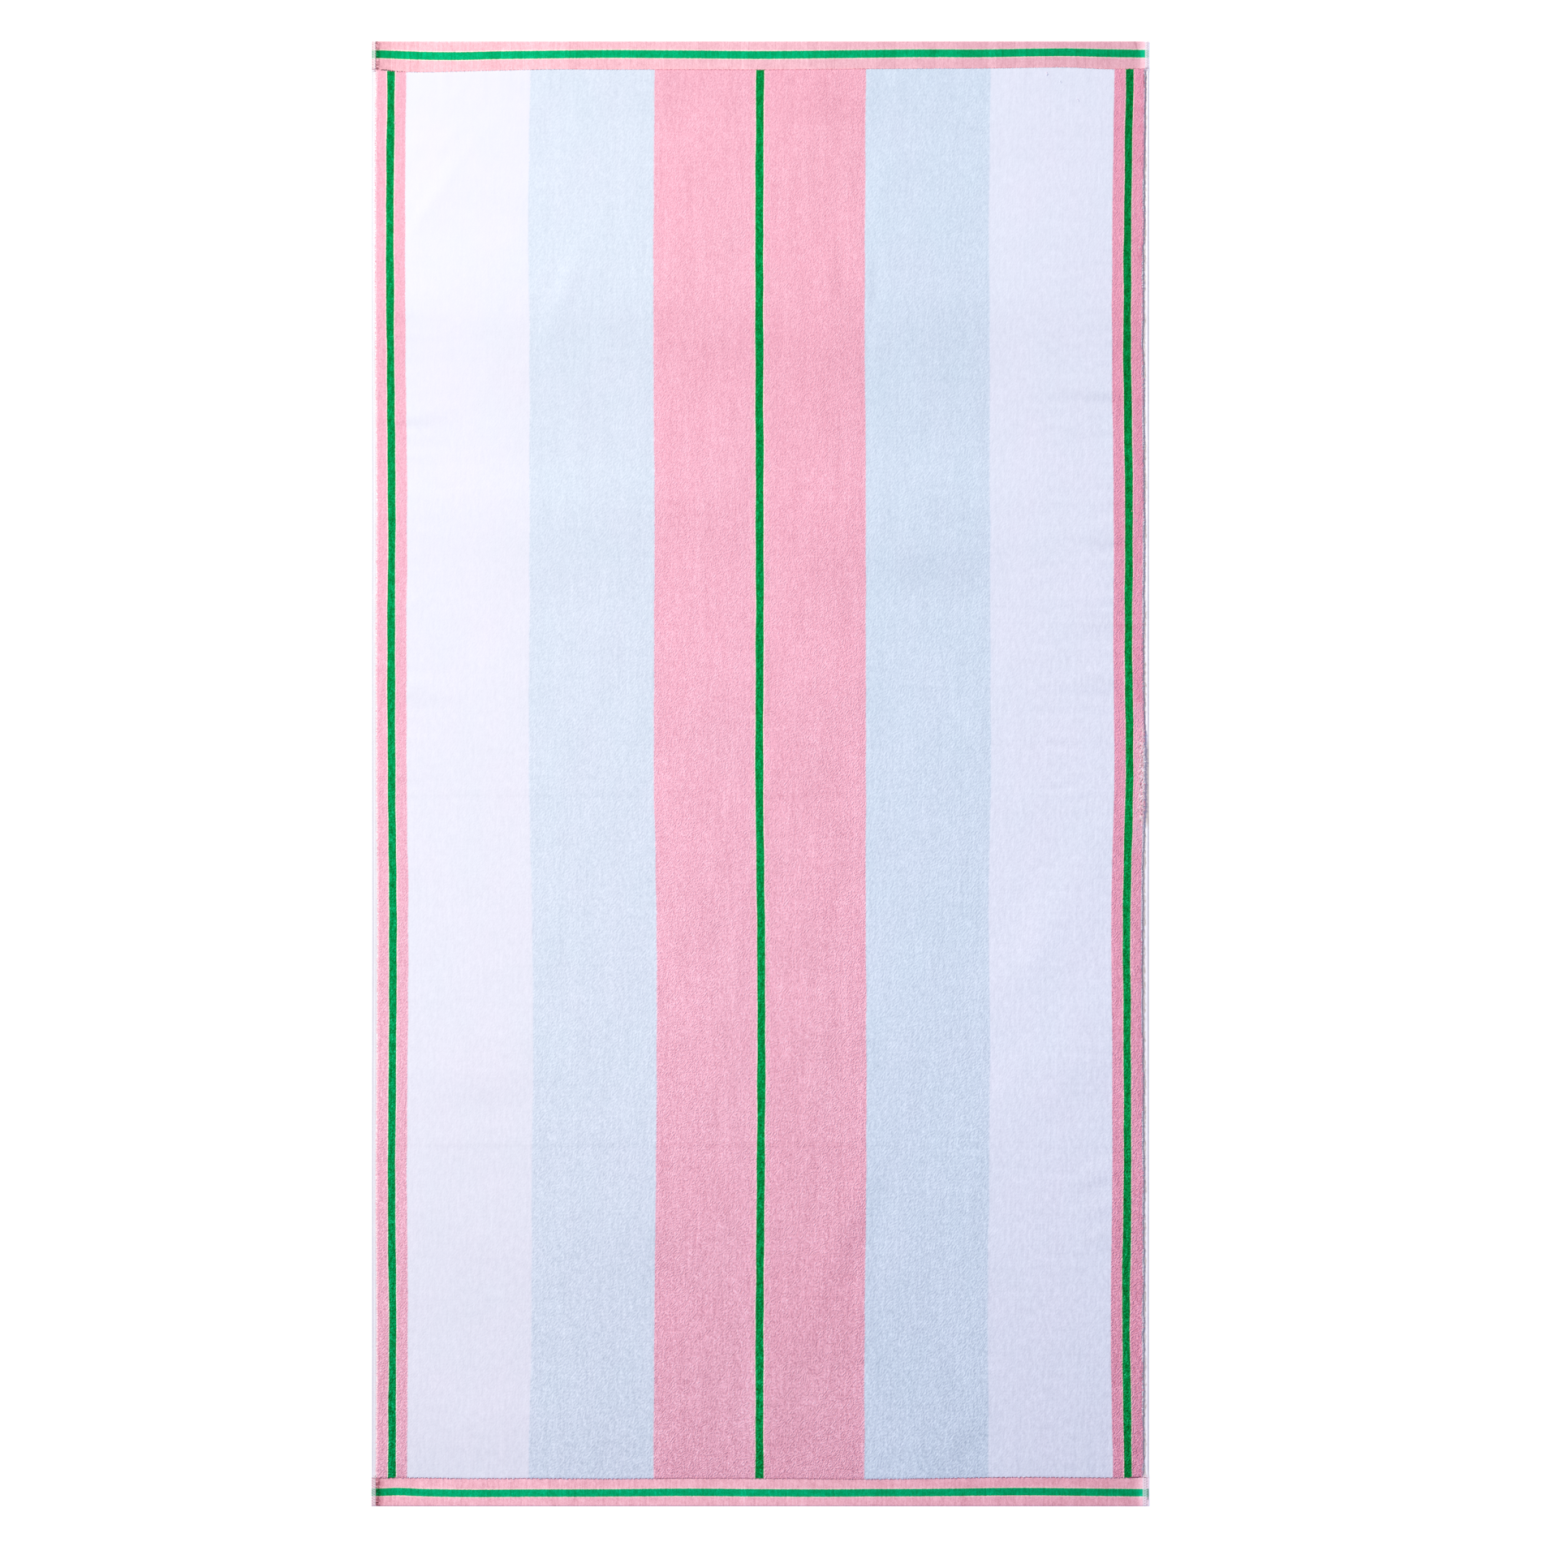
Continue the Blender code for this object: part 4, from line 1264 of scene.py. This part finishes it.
def stripes_of(g, first, last):
    """The colour of the woven stripes between two borders, with a little of their neighbours past
    them, and where they are green. Green lines have ragged edges with a pale thread beside them."""
    rag = g.noise((0.0013, 0.0022), 1, detail=1.0)
    slow = g.noise((0.012, 0.046), 2)
    u_green = g.plus_times(rag, 0.00017, g.plus_times(slow, 0.00038, g.u))
    u_soft = g.plus_times(rag, 0.00055, g.plus_times(slow, 0.00035, g.u))
    colour = colour_of(STRIPES[max(first - 1, 0)].yarn)
    halos, green, edge = [], 0.0, 1.0
    for k in range(max(first, 1), min(last, len(STRIPES) - 1) + 1):
        a, b = STRIPES[k - 1].yarn, STRIPES[k].yarn
        at = float(BORDERS[k])
        if "green" in (a, b):
            side = 1 if a == "green" else -1
            at = at + side * 0.00020
            share = g.step(u_green, at - 0.00024, at + 0.00024)
            halos.append(g.ridge(u_green, at + side * 0.00052, 0.00044, 0.0005))
            if b == "green":
                edge = share
            else:
                green = g.add(g.math("SUBTRACT", edge, share), green)
        elif "weave" in a + b:
            share = g.step(u_soft, at - 0.0003, at + 0.0003)
        else:
            share = g.step(u_soft, at - 0.0011, at + 0.0011)
        colour = g.mix(share, colour, colour_of(b))
    for halo in halos:
        colour = g.mix(g.times(halo, 0.80), colour, colour_of("cream"))
    return colour, green


def nap_of(g, grain):
    """The grain of the sheared pile: fine strokes and clumps, and longer streaks, each about 0."""
    strokes = g.noise((0.00140 * grain, 0.00250 * grain), 11, turn=-38)
    clumps = g.noise((0.00075 * grain, 0.00150 * grain), 14, turn=-34)
    knots = g.noise((0.0036, 0.0088), 15, turn=-6)
    warp = g.noise((0.0017, 0.090), 19, detail=1.0)
    weft = g.noise((0.160, 0.0024), 20, detail=1.0)
    fine = g.plus_times(strokes, 0.036, g.times(clumps, 0.016))
    broad = g.plus_times(knots, 0.0120, g.plus_times(warp, 0.0080, g.times(weft, 0.0035)))
    relief = g.plus_times(strokes, 1.30, g.times(clumps, 0.35))
    # The shearing is rougher towards the foot and the right-hand side.
    rough = g.plus_times(g.v, -0.50, g.plus_times(g.u, 0.83, 0.545))
    return fine, broad, g.times(relief, rough), knots


def pile_colour(g, first, last, nap, cast):
    """The colour of the pile between two borders, with its grain, and the grain's relief."""
    colour, green = stripes_of(g, first, last)
    fine, broad, relief, knots = nap_of(g, nap.grain)
    down = g.math("MAXIMUM", g.plus_times(g.v, -1 / LENGTH, 0.5), 0.0)
    gain = g.plus_times(g.math("POWER", down, nap.curve), nap.foot, g.plus_times(g.u, nap.right / WIDTH, nap.start))
    shade = g.times(g.plus_times(fine, nap.fine, g.times(broad, nap.broad)), gain)
    if not isinstance(green, float):
        shade = g.add(shade, g.times(green, g.plus_times(fine, 1.8, g.times(knots, 0.054))))
    # Painted light and shade of the folds, creases and dimples, and the lie of the pile, from the mesh's attribute.
    shade = g.add(shade, g.level("lay"))
    tint = g.noise((0.0085, 0.021), 61, detail=1.0)
    hue = g.noise((0.034, 0.060), 62, detail=1.0)
    sky = g.noise((0.085, 0.130), 63, detail=1.0)
    tint = g.plus_times(tint, 0.45, g.plus_times(hue, 0.8, sky))
    colour = g.tinted(g.shaded(colour, shade), tint, 0.011, 0.0, 0.003)
    lower = g.math("SUBTRACT", 1.0, g.step(g.v, 0.10, 0.80))
    if nap.lift:
        colour = g.tinted(colour, g.times(lower, nap.lift), 1.0, 0.75, 1.15)
    if not isinstance(green, float):
        colour = g.tinted(colour, green, 0.0, 0.0, cast.line_blue - 1)
        colour = g.tinted(colour, g.times(green, g.times(lower, cast.line_lower)), 1.0, 1.0, 1.0)
    return g.tinted(colour, 1.0, cast.red - 1, cast.green - 1, cast.blue - 1), relief, fine


def pile_material(name, first, last, nap, cast):
    g = Graph(name)
    colour, relief, fine = pile_colour(g, first, last, nap, cast)
    return g.finish(colour, g.plus_times(fine, -0.8, 0.93), relief, nap.relief)


def border_material(name, side, cast):
    """The outer stripes and the flat selvedge beside them. The attribute "pile" tells them apart."""
    g = Graph(name)
    nap = NAPS["pink"]
    first, last = (1, 4) if side < 0 else (11, 14)
    pile, relief, fine = pile_colour(g, first, last, nap, cast)
    from_edge = g.u if side < 0 else g.math("SUBTRACT", WIDTH, g.u)
    # Flat white weave with corded ribs and fine picks across it.
    picks = g.wave(g.v, 0.0021)
    cords = g.wave(g.u, 0.00130)
    weave = g.times(picks, cords)
    grain = g.noise((0.0011, 0.0016), 21, detail=1.0)
    patches = g.noise((0.004, 0.026), 22, detail=1.0)
    blots = g.noise((0.0022, 0.0050), 24, detail=1.0)
    if side < 0:
        # Painted shade in the furrow between the two ribs, and painted light along the outer edge.
        shade = g.times(g.ridge(from_edge, 0.00155, 0.00040, 0.0008), -0.030)
        shade = g.plus_times(g.math("SUBTRACT", 1.0, g.step(from_edge, 0.0003, 0.0010)), 0.09, shade)
        beside = 0.0
    else:
        # Painted shade along the outer edge, which slopes away from the light.
        rim = g.math("SUBTRACT", 1.0, g.step(from_edge, 0.0009, 0.0015))
        shade = g.times(rim, -0.09)
        # Next to the pile it lies in a furrow, painted grey as the shadow of the pile's edge.
        width = g.noise((0.5, 0.021), 25, detail=1.0)
        reach = g.plus_times(blots, 0.0012, g.plus_times(width, 0.0010, from_edge))
        beside = g.step(reach, 0.0030, 0.0056)
        # Where the pile has pulled loose, the sunk selvedge is painted in shade all across.
        bare = g.times(g.step(g.v, -0.066, -0.054), g.math("SUBTRACT", 1.0, g.step(g.v, 0.024, 0.046)))
        beside = g.times(beside, g.plus_times(bare, -1.0, 1.0))
        shade = g.plus_times(g.times(beside, g.plus_times(blots, 0.18, 0.88)), -0.44, shade)
        shade = g.plus_times(bare, -0.24, shade)
    shade = g.plus_times(weave, 0.022, g.plus_times(grain, 0.026 if side < 0 else 0.045, g.plus_times(patches, 0.014 if side < 0 else 0.030, shade)))
    # The right-hand selvedge is painted brighter than the left, against the falloff of the light.
    selvedge = g.scaled(colour_of("white_weave"), g.add(shade, 0.890 if side < 0 else 1.035))
    selvedge = g.tinted(selvedge, 1.0, 0.010, -0.012, 0.024)
    if side > 0:
        selvedge = g.tinted(selvedge, g.math("MAXIMUM", beside, bare), 0.08, -0.01, -0.10)
        selvedge = g.tinted(selvedge, rim, 0.04, 0.01, -0.15)
        # Loose, worn pile: painted shade in the dark gaps between the pulled loops, and darker, wine-red clumps.
        from_pile = g.math("SUBTRACT", PILE_RIGHT, g.u)
        near = g.math("SUBTRACT", 1.0, g.step(from_pile, 0.0030, 0.0100))
        brink = g.math("SUBTRACT", 1.0, g.step(from_pile, 0.0030, 0.0078))
        zone = g.times(g.step(g.v, -0.070, -0.052), g.math("SUBTRACT", 1.0, g.step(g.v, 0.030, 0.052)))
        # The whole outer stripe lies paler there.
        worn = g.times(g.step(g.v, -0.110, -0.060), g.math("SUBTRACT", 1.0, g.step(g.v, 0.075, 0.090)))
        worn = g.times(worn, g.step(g.u, float(BORDERS[13]) + 0.0006, float(BORDERS[13]) + 0.0030))
        pile = g.mix(g.times(worn, 0.17), pile, (1.0, 0.90, 1.0, 1.0))
        pits = g.noise((0.0016, 0.0040), 26, turn=-32, detail=1.0)
        gaps = g.times(g.times(g.step(pits, 0.22, 0.46), brink), zone)
        pile = g.mix(g.times(gaps, 0.88), pile, colour_of("plum"))
        flecks = g.times(g.times(g.step(g.times(pits, -1.0), 0.16, 0.46), near), zone)
        pile = g.mix(g.times(flecks, 0.92), pile, (1.0, 0.90, 1.0, 1.0))
        # Pale fibres along its very edge, in places, painted paler also as light that lifts the edge out of its own
        # shade.
        ends = g.ridge(from_pile, 0.0004, 0.0010, 0.0008)
        ends = g.times(ends, g.step(width, -1.1, 0.1))
        pile = g.mix(g.times(ends, 0.50), pile, (1.0, 0.96, 1.0, 1.0))
        # Painted shade in the gaps under the pile's edge, next to the head.
        edge_gap_shade = g.times(g.ridge(from_pile, 0.0008, 0.0007, 0.0008), g.step(g.v, 0.786, 0.796))
        pile = g.mix(g.times(g.times(edge_gap_shade, g.step(blots, -0.5, 0.2)), 0.85), pile, colour_of("plum"))
        wine = g.noise((0.0044, 0.0095), 27, turn=20, detail=1.0)
        edge = g.math("SUBTRACT", 1.0, g.step(from_pile, 0.0010, 0.0120))
        pile = g.shaded(pile, g.times(g.times(g.step(wine, 0.15, 1.10), edge), -0.11))
    if side < 0:
        # Its edge on the left is thin, and the white ground shows through.
        thin = g.math("SUBTRACT", 1.0, g.step(g.plus_times(blots, 0.0004, g.u), PILE_LEFT + 0.0002, PILE_LEFT + 0.0018))
        pile = g.mix(g.times(thin, 0.78), pile, (1.0, 0.95, 1.0, 1.0))
    rag = g.plus_times(grain, 0.10, g.level("pile"))
    share = g.step(rag, 0.22, 0.55)
    colour = g.mix(share, selvedge, pile)
    woven = g.plus_times(weave, 0.30, g.times(grain, 0.20))
    inverse = g.math("SUBTRACT", 1.0, share)
    height = g.plus_times(g.times(woven, inverse), 0.8, g.times(relief, share))
    return g.finish(colour, g.plus_times(fine, -0.8, 0.92), height, nap.relief)


def random_of(g, panel, channel=0):
    split = g.nodes.new("ShaderNodeSeparateColor")
    g.put(split.inputs[0], panel)
    return split.outputs[channel]


def band_material(name, end):
    """Flat woven band: pink, green, pink, with the white selvedges crossing it."""
    g = Graph(name)
    band = HEAD_BAND if end > 0 else FOOT_BAND
    from_edge = g.math("SUBTRACT", LENGTH / 2, g.times(g.v, float(end)))
    rag = g.noise((0.0022, 0.0013), 31, detail=1.0)
    at = g.plus_times(rag, 0.00024, from_edge)
    outer = band[0] - (0.00047 if end > 0 else 0.00070)
    inner = band[0] + band[1] + (0.00020 if end > 0 else -0.00020)
    line = g.times(
        g.step(at, outer - 0.0002, outer + 0.0002),
        g.math("SUBTRACT", 1.0, g.step(at, inner - 0.0002, inner + 0.0002)),
    )
    halo = g.add(
        g.ridge(at, outer - 0.00055, 0.00040, 0.0006),
        g.ridge(at, inner + 0.00055, 0.00040, 0.0006),
    )
    colour = g.mix(line, colour_of("pink_weave"), colour_of("green_weave"))
    colour = g.mix(g.times(halo, 0.85), colour, colour_of("cream"))
    if end < 0:
        colour = g.tinted(colour, g.math("SUBTRACT", 1.0, line), 0.080, -0.010, -0.008)
    # Soft panels, and fine tuck lines across the band: painted light and shade of the hem's tucks.
    wavy = g.plus_times(g.noise((0.004, 0.016), 33), 0.0007, g.u)
    own = random_of(g, g.panels(wavy, 0.0115))
    broad = random_of(g, g.panels(wavy, 0.0470), 1)
    tuck = g.panels(wavy, 0.0115, feature="DISTANCE_TO_EDGE", output="Distance")
    kept = g.step(random_of(g, g.panels(wavy, 0.0290), 2), 0.45, 0.60)
    lines = g.times(g.math("SUBTRACT", 1.0, g.step(tuck, 0.010, 0.050)), kept)
    grain = g.noise((0.0012, 0.0016), 34, detail=1.0, rough=0.6)
    clumps = g.noise((0.0030, 0.0046), 35, detail=1.0)
    streaks = g.noise((0.0024, 0.0300), 36, detail=1.0)
    clouds = g.noise((0.020, 0.010), 37, detail=1.0)
    dots = g.times(g.wave(g.u, 0.0041), g.wave(g.v, 0.0019))
    # It is paler at the left and darker at the right, painted shade as the light falls off across it, and the green is
    # more uneven than the pink.
    mottle = g.plus_times(line, 0.45, 1.9 if end > 0 else 2.5)
    shade = g.plus_times(own, 0.034 if end > 0 else 0.018, g.plus_times(broad, 0.026 if end > 0 else 0.018, -0.030 if end > 0 else -0.018))
    shade = g.plus_times(lines, -0.030 if end > 0 else -0.014, g.plus_times(streaks, 0.020, shade))
    shade = g.plus_times(grain, 0.040, g.plus_times(clumps, 0.026, shade))
    shade = g.times(g.plus_times(clouds, 0.014, g.plus_times(dots, 0.008, shade)), mottle)
    shade = g.plus_times(g.step(g.u, 0.46, 0.86), -0.088, shade)
    # Painted shade where the left-hand end is pinched, and painted highlight where the right-hand one is pulled up
    # towards the light.
    from_right = g.math("SUBTRACT", WIDTH, g.u)
    comb = g.noise((0.0034, 0.0014), 38, turn=-24, detail=1.0)
    pinch = g.math("SUBTRACT", 1.0, g.step(g.plus_times(comb, 0.0022, g.u), 0.0085, 0.0165))
    pinch = g.times(pinch, g.plus_times(g.step(g.u, 0.0044, 0.0056), 0.80, 0.20))
    shade = g.plus_times(g.times(pinch, g.plus_times(comb, 0.60, 0.85)), -0.110 if end > 0 else -0.250, shade)
    teeth = g.times(g.math("SUBTRACT", 1.0, g.step(g.u, 0.0086, 0.0110)), g.step(g.u, 0.0044, 0.0056))
    shade = g.plus_times(g.times(teeth, g.plus_times(comb, 0.9, 0.60)), -0.40, shade)
    if end > 0:
        # Painted shade of a slanting pinch near the right-hand end.
        pinch_shade_right = g.ridge(g.plus_times(from_edge, 0.25, from_right), 0.0195, 0.0009, 0.0030)
        pinch_shade_right = g.times(pinch_shade_right, g.math("SUBTRACT", 1.0, g.step(from_edge, 0.0090, 0.0170)))
        shade = g.plus_times(pinch_shade_right, -0.16, shade)
    else:
        # Painted shade in two tuck lines near the left-hand end.
        for place, deep in ((0.0222, -0.035), (0.0271, -0.075)):
            shade = g.plus_times(g.ridge(wavy, place, 0.0005, 0.0009), deep, shade)
    # Painted shade, fading inwards, where the left-hand end is drawn in.
    drawn = g.math("SUBTRACT", 1.0, g.step(g.plus_times(clumps, 0.0040, g.u), 0.018, 0.056))
    shade = g.plus_times(drawn, -0.070 if end > 0 else -0.036, shade)
    # Painted highlight where the right-hand end is raised towards the light, strongest at the very end.
    raised_highlight = g.math("SUBTRACT", 1.0, g.step(g.plus_times(clumps, 0.0016, from_right), 0.0115, 0.0200))
    shade = g.plus_times(raised_highlight, 0.125, shade)
    shade = g.plus_times(g.math("SUBTRACT", 1.0, g.step(from_right, 0.0085, 0.0135)), 0.09, shade)
    # By the pile it is drawn in by the stitches: a dark seam, painted shadow of the pile's edge, then a pale rim.
    from_pile = g.math("SUBTRACT", sum(band), at)
    seam = g.math("SUBTRACT", 1.0, g.step(from_pile, 0.0002, 0.0010))
    stitched = g.step(g.plus_times(g.noise((0.0030, 0.0300), 39), 0.6, g.wave(g.u, STITCH)), -0.35, 0.45)
    shade = g.plus_times(g.times(seam, stitched), -0.10 if end > 0 else -0.42, shade)
    rim = g.ridge(from_pile, 0.0016, 0.0005, 0.0010)
    shade = g.plus_times(rim, 0.020 if end > 0 else 0.045, shade)
    # The fold itself, painted a little darker as shade where it turns away from the light.
    shade = g.plus_times(g.math("SUBTRACT", 1.0, g.step(from_edge, 0.0004, 0.0014)), -0.020 if end > 0 else -0.150, shade)
    colour = g.shaded(colour, shade)
    # The selvedges: white, with two columns of small dashes in the weft's colour.
    left_margin, right_margin = (0.0058, 0.0072) if end > 0 else (0.0054, 0.0074)
    margin = g.add(
        g.math("SUBTRACT", 1.0, g.step(g.u, left_margin - 0.0004, left_margin + 0.0004)),
        g.math("SUBTRACT", 1.0, g.step(from_right, right_margin - 0.0004, right_margin + 0.0011)),
    )
    offset = g.plus_times(g.math("MINIMUM", g.u, from_right), 1300.0, 0.0)
    dash = g.step(g.math("SINE", g.plus_times(g.v, 2 * math.pi / 0.0029, offset)), -0.35, 0.15)
    left_columns = (0.0022, 0.0052) if end > 0 else (0.0012, 0.0036)
    right_columns = (0.0015, 0.0044) if end > 0 else (0.0026, 0.0052)
    columns = 0.0
    for value, places in ((g.u, left_columns), (from_right, right_columns)):
        for place in places:
            columns = g.add(g.ridge(value, place, 0.00066, 0.0007), columns)
    dashes = g.times(g.times(dash, columns), g.plus_times(clumps, 0.30, 0.85))
    # The right-hand selvedge is painted brighter, against the falloff of the light.
    white = g.scaled(colour_of("white_weave"), g.plus_times(clumps, 0.03, g.plus_times(g.step(g.u, 0.4, 0.5), 0.13, 0.95)))
    white = g.mix(g.plus_times(g.step(g.u, 0.4, 0.5), -0.16, 0.44) if end > 0 else 0.44, white, colour)
    ticks = g.mix(0.36, g.scaled(colour, 0.62), (0.54, 0.46, 0.60, 1.0))
    side = g.mix(dashes, white, ticks)
    corner = g.math("SUBTRACT", 1.0, g.step(from_pile, 0.0008, 0.0030))
    side = g.mix(g.times(corner, 0.5 if end > 0 else 0.0), side, (0.40, 0.34, 0.50, 1.0))
    if end < 0:
        # The weft's turn at the right-hand edge of the green line.
        turn = g.times(g.ridge(from_right, 0.0012, 0.0006, 0.0006), g.step(from_edge, 0.0060, 0.0090))
        turn = g.times(turn, g.math("SUBTRACT", 1.0, g.step(from_edge, 0.0198, 0.0212)))
        side = g.mix(g.times(turn, 0.85), side, (0.010, 0.095, 0.045, 1.0))
    colour = g.mix(margin, colour, side)
    height = g.plus_times(
        g.times(g.wave(g.v, 0.0019), g.wave(g.u, 0.00205)),
        0.22,
        g.plus_times(grain, 0.50, g.plus_times(clumps, 0.5, g.plus_times(own, 0.8, g.times(lines, -1.0)))),
    )
    return g.finish(colour, g.plus_times(grain, 0.03, 0.84), height, 0.00007, sheen=0.06)


def loop_material(name):
    """Terry loops of the underside, in the same stripes."""
    g = Graph(name)
    colour, _ = stripes_of(g, 0, len(STRIPES))
    loops = g.cells((0.00165, 0.00215), 41, turn=8)
    own = g.cells((0.00165, 0.00215), 41, turn=8, output="Color")
    split = g.nodes.new("ShaderNodeSeparateColor")
    g.put(split.inputs[0], own)
    clumps = g.noise((0.006, 0.009), 43, detail=1.0)
    warp = g.noise((0.0021, 0.120), 44, detail=1.0)
    # Painted shade in the hollows between the loops.
    hollow = g.step(loops, 0.25, 0.85)
    shade = g.plus_times(hollow, -0.13, g.plus_times(split.outputs[0], 0.07, 0.02))
    shade = g.plus_times(clumps, 0.014, g.plus_times(warp, 0.008, shade))
    colour = g.shaded(colour, shade)
    dome = g.math("SUBTRACT", 1.0, g.times(loops, loops))
    height = g.plus_times(split.outputs[1], 0.25, g.plus_times(clumps, 0.15, dome))
    return g.finish(colour, g.plus_times(hollow, 0.05, 0.90), height, 0.00055, sheen=0.12)


def loose_material(name):
    """Yarn of the pulled loops: pale, with the pile's own colour here and there."""
    g = Graph(name)
    mixed = g.noise((0.0019, 0.0027), 52, detail=1.0)
    white = g.step(g.u, PILE_RIGHT - 0.030, PILE_RIGHT - 0.020)
    base = g.mix(white, colour_of("white"), colour_of("loops"))
    colour = g.mix(g.step(mixed, 0.2, 0.9), base, colour_of("pink"))
    return g.finish(colour, g.plus_times(mixed, 0.03, 0.85), mixed, 0.00003, sheen=0.1)


def thread_material(name, end):
    """Hem thread: it takes the band's colour at the head, and is darker along the foot and at
    the head's left end. Along the foot its dark colour stands partly for the shade under the pile's edge."""
    g = Graph(name)
    twist = g.noise((0.0004, 0.0012), 51, detail=1.0)
    mixed = g.noise((0.0060, 0.5), 53)
    single = g.step(g.math("ABSOLUTE", g.v), (PILE_HEAD if end > 0 else -PILE_FOOT) + 0.0030, (PILE_HEAD if end > 0 else -PILE_FOOT) + 0.0032)
    if end > 0:
        dark = g.times(g.step(g.u, 0.0105, 0.0125), g.math("SUBTRACT", 1.0, g.step(g.u, 0.0180, 0.0195)))
    else:
        dark = g.step(mixed, -0.55, 0.25)
    dark = g.math("MAXIMUM", dark, single)
    deep = g.mix(g.math("SUBTRACT", 1.0, g.step(g.u, 0.030, 0.034)), colour_of("plum"), (0.030, 0.028, 0.022, 1.0)) if end > 0 else colour_of("plum")
    colour = g.mix(g.times(dark, 0.92), colour_of("thread"), deep)
    colour = g.scaled(colour, g.plus_times(twist, 0.06, 1.0))
    return g.finish(colour, g.plus_times(twist, 0.04, 0.75), twist, 0.00004, sheen=0.05)


# ================================================================== assembly
face = build_face()
back = build_back()
hem_head = build_hem("hem_head", 1)
hem_foot = build_hem("hem_foot", -1)
edges = edge_tufts()
stitches = hem_stitches()
loops = rough_loops()

FACE_NAPS = ("pink", "white", "blue", "pink", "pink", "blue", "white", "pink")
for piece, (name, first, last), yarn in zip(face, FACE_PIECES, FACE_NAPS):
    if first == 0:
        piece.data.materials.append(border_material("border_left", -1, CASTS[name]))
    elif last == len(STRIPES):
        piece.data.materials.append(border_material("border_right", 1, CASTS[name]))
    else:
        piece.data.materials.append(pile_material("pile_" + name[5:], first, last, NAPS[yarn], CASTS[name]))
back.data.materials.append(loop_material("terry_loops"))
hem_head.data.materials.append(band_material("band_head", 1))
hem_foot.data.materials.append(band_material("band_foot", -1))
edge_material = pile_material(
    "pile_edges", 1, len(STRIPES) - 1, Nap(0.5, 0.5, 0.00005, 1.4, 0.5, 0.5, 1.0, 1.0, 0.0), Cast(0.98, 0.95, 0.97, 1.0, 0.0)
)
for piece in edges:
    piece.data.materials.append(edge_material)
for piece, end in zip(stitches, (1, -1)):
    piece.data.materials.append(thread_material("hem_thread_head" if end > 0 else "hem_thread_foot", end))
loops.data.materials.append(loose_material("loose_loops"))

# ------------------------------------------------------- floor, light, camera
floor_mesh = bpy.data.meshes.new("floor")
floor_mesh.from_pydata(
    [(-30, -30, 0), (30, -30, 0), (30, 30, 0), (-30, 30, 0)], [], [(0, 1, 2, 3)]
)
floor = linked(floor_mesh, "floor")
floor.location.z = -0.00003
ground = bpy.data.materials.new("pale_floor")
ground.use_nodes = True
ground_shader = ground.node_tree.nodes["Principled BSDF"]
ground_noise = ground.node_tree.nodes.new("ShaderNodeTexNoise")
ground_noise.inputs["Scale"].default_value = 3.0
ground_tone = ground.node_tree.nodes.new("ShaderNodeMapRange")
ground_tone.inputs["To Min"].default_value = 0.94
ground_tone.inputs["To Max"].default_value = 0.97
ground.node_tree.links.new(ground_noise.outputs[0], ground_tone.inputs["Value"])
ground.node_tree.links.new(ground_tone.outputs[0], ground_shader.inputs["Base Color"])
ground_shader.inputs["Roughness"].default_value = 0.9
ground_shader.inputs["Specular IOR Level"].default_value = 0.1
ground_shader.inputs["Emission Color"].default_value = (1.0, 1.0, 1.0, 1.0)
ground_shader.inputs["Emission Strength"].default_value = 0.50
floor_mesh.materials.append(ground)

world = bpy.data.worlds.new("soft_studio")
bpy.context.scene.world = world
world.use_nodes = True
sky = world.node_tree.nodes["Background"]
sky.inputs["Color"].default_value = (0.36, 0.38, 0.57, 1.0)
sky.inputs["Strength"].default_value = 1.0
seen = world.node_tree.nodes.new("ShaderNodeBackground")
seen.inputs["Color"].default_value = (1.0, 1.0, 1.0, 1.0)
path = world.node_tree.nodes.new("ShaderNodeLightPath")
choose = world.node_tree.nodes.new("ShaderNodeMixShader")
world.node_tree.links.new(path.outputs["Is Camera Ray"], choose.inputs[0])
world.node_tree.links.new(sky.outputs[0], choose.inputs[1])
world.node_tree.links.new(seen.outputs[0], choose.inputs[2])
world.node_tree.links.new(choose.outputs[0], world.node_tree.nodes["World Output"].inputs[0])

key_data = bpy.data.lights.new("key", "AREA")
key_data.shape = "SQUARE"
key_data.size = 1.6
key_data.energy = 260
key_data.color = (1.0, 0.97, 0.68)
key = bpy.data.objects.new("key", key_data)
key.location = (-3.364, 2.021, 3.412)
bpy.context.scene.collection.objects.link(key)
from mathutils import Vector

key.rotation_euler = (-Vector(key.location)).to_track_quat("-Z", "Y").to_euler()

camera_data = bpy.data.cameras.new("camera")
camera_data.lens = 85.0
camera_data.sensor_width = 36.0
camera_data.clip_end = 100.0
camera = bpy.data.objects.new("camera", camera_data)
SEEN_WIDTH = 1.81886  # the photograph's whole frame at the face of the towel
camera.location = (0.02776, -0.01186, PILE + SEEN_WIDTH * 85.0 / 36.0)
bpy.context.scene.collection.objects.link(camera)
bpy.context.scene.camera = camera

view = bpy.context.scene.view_settings
view.view_transform = "Standard"
view.look = "None"
view.exposure = 0.0
view.gamma = 1.0

# ----------------------------------------------------------------- the frame
developed = float(hem_path()[1][-1])
for piece in [*face, back, hem_head, hem_foot, *edges, *stitches, loops]:
    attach(piece, "root")
    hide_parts("towel")
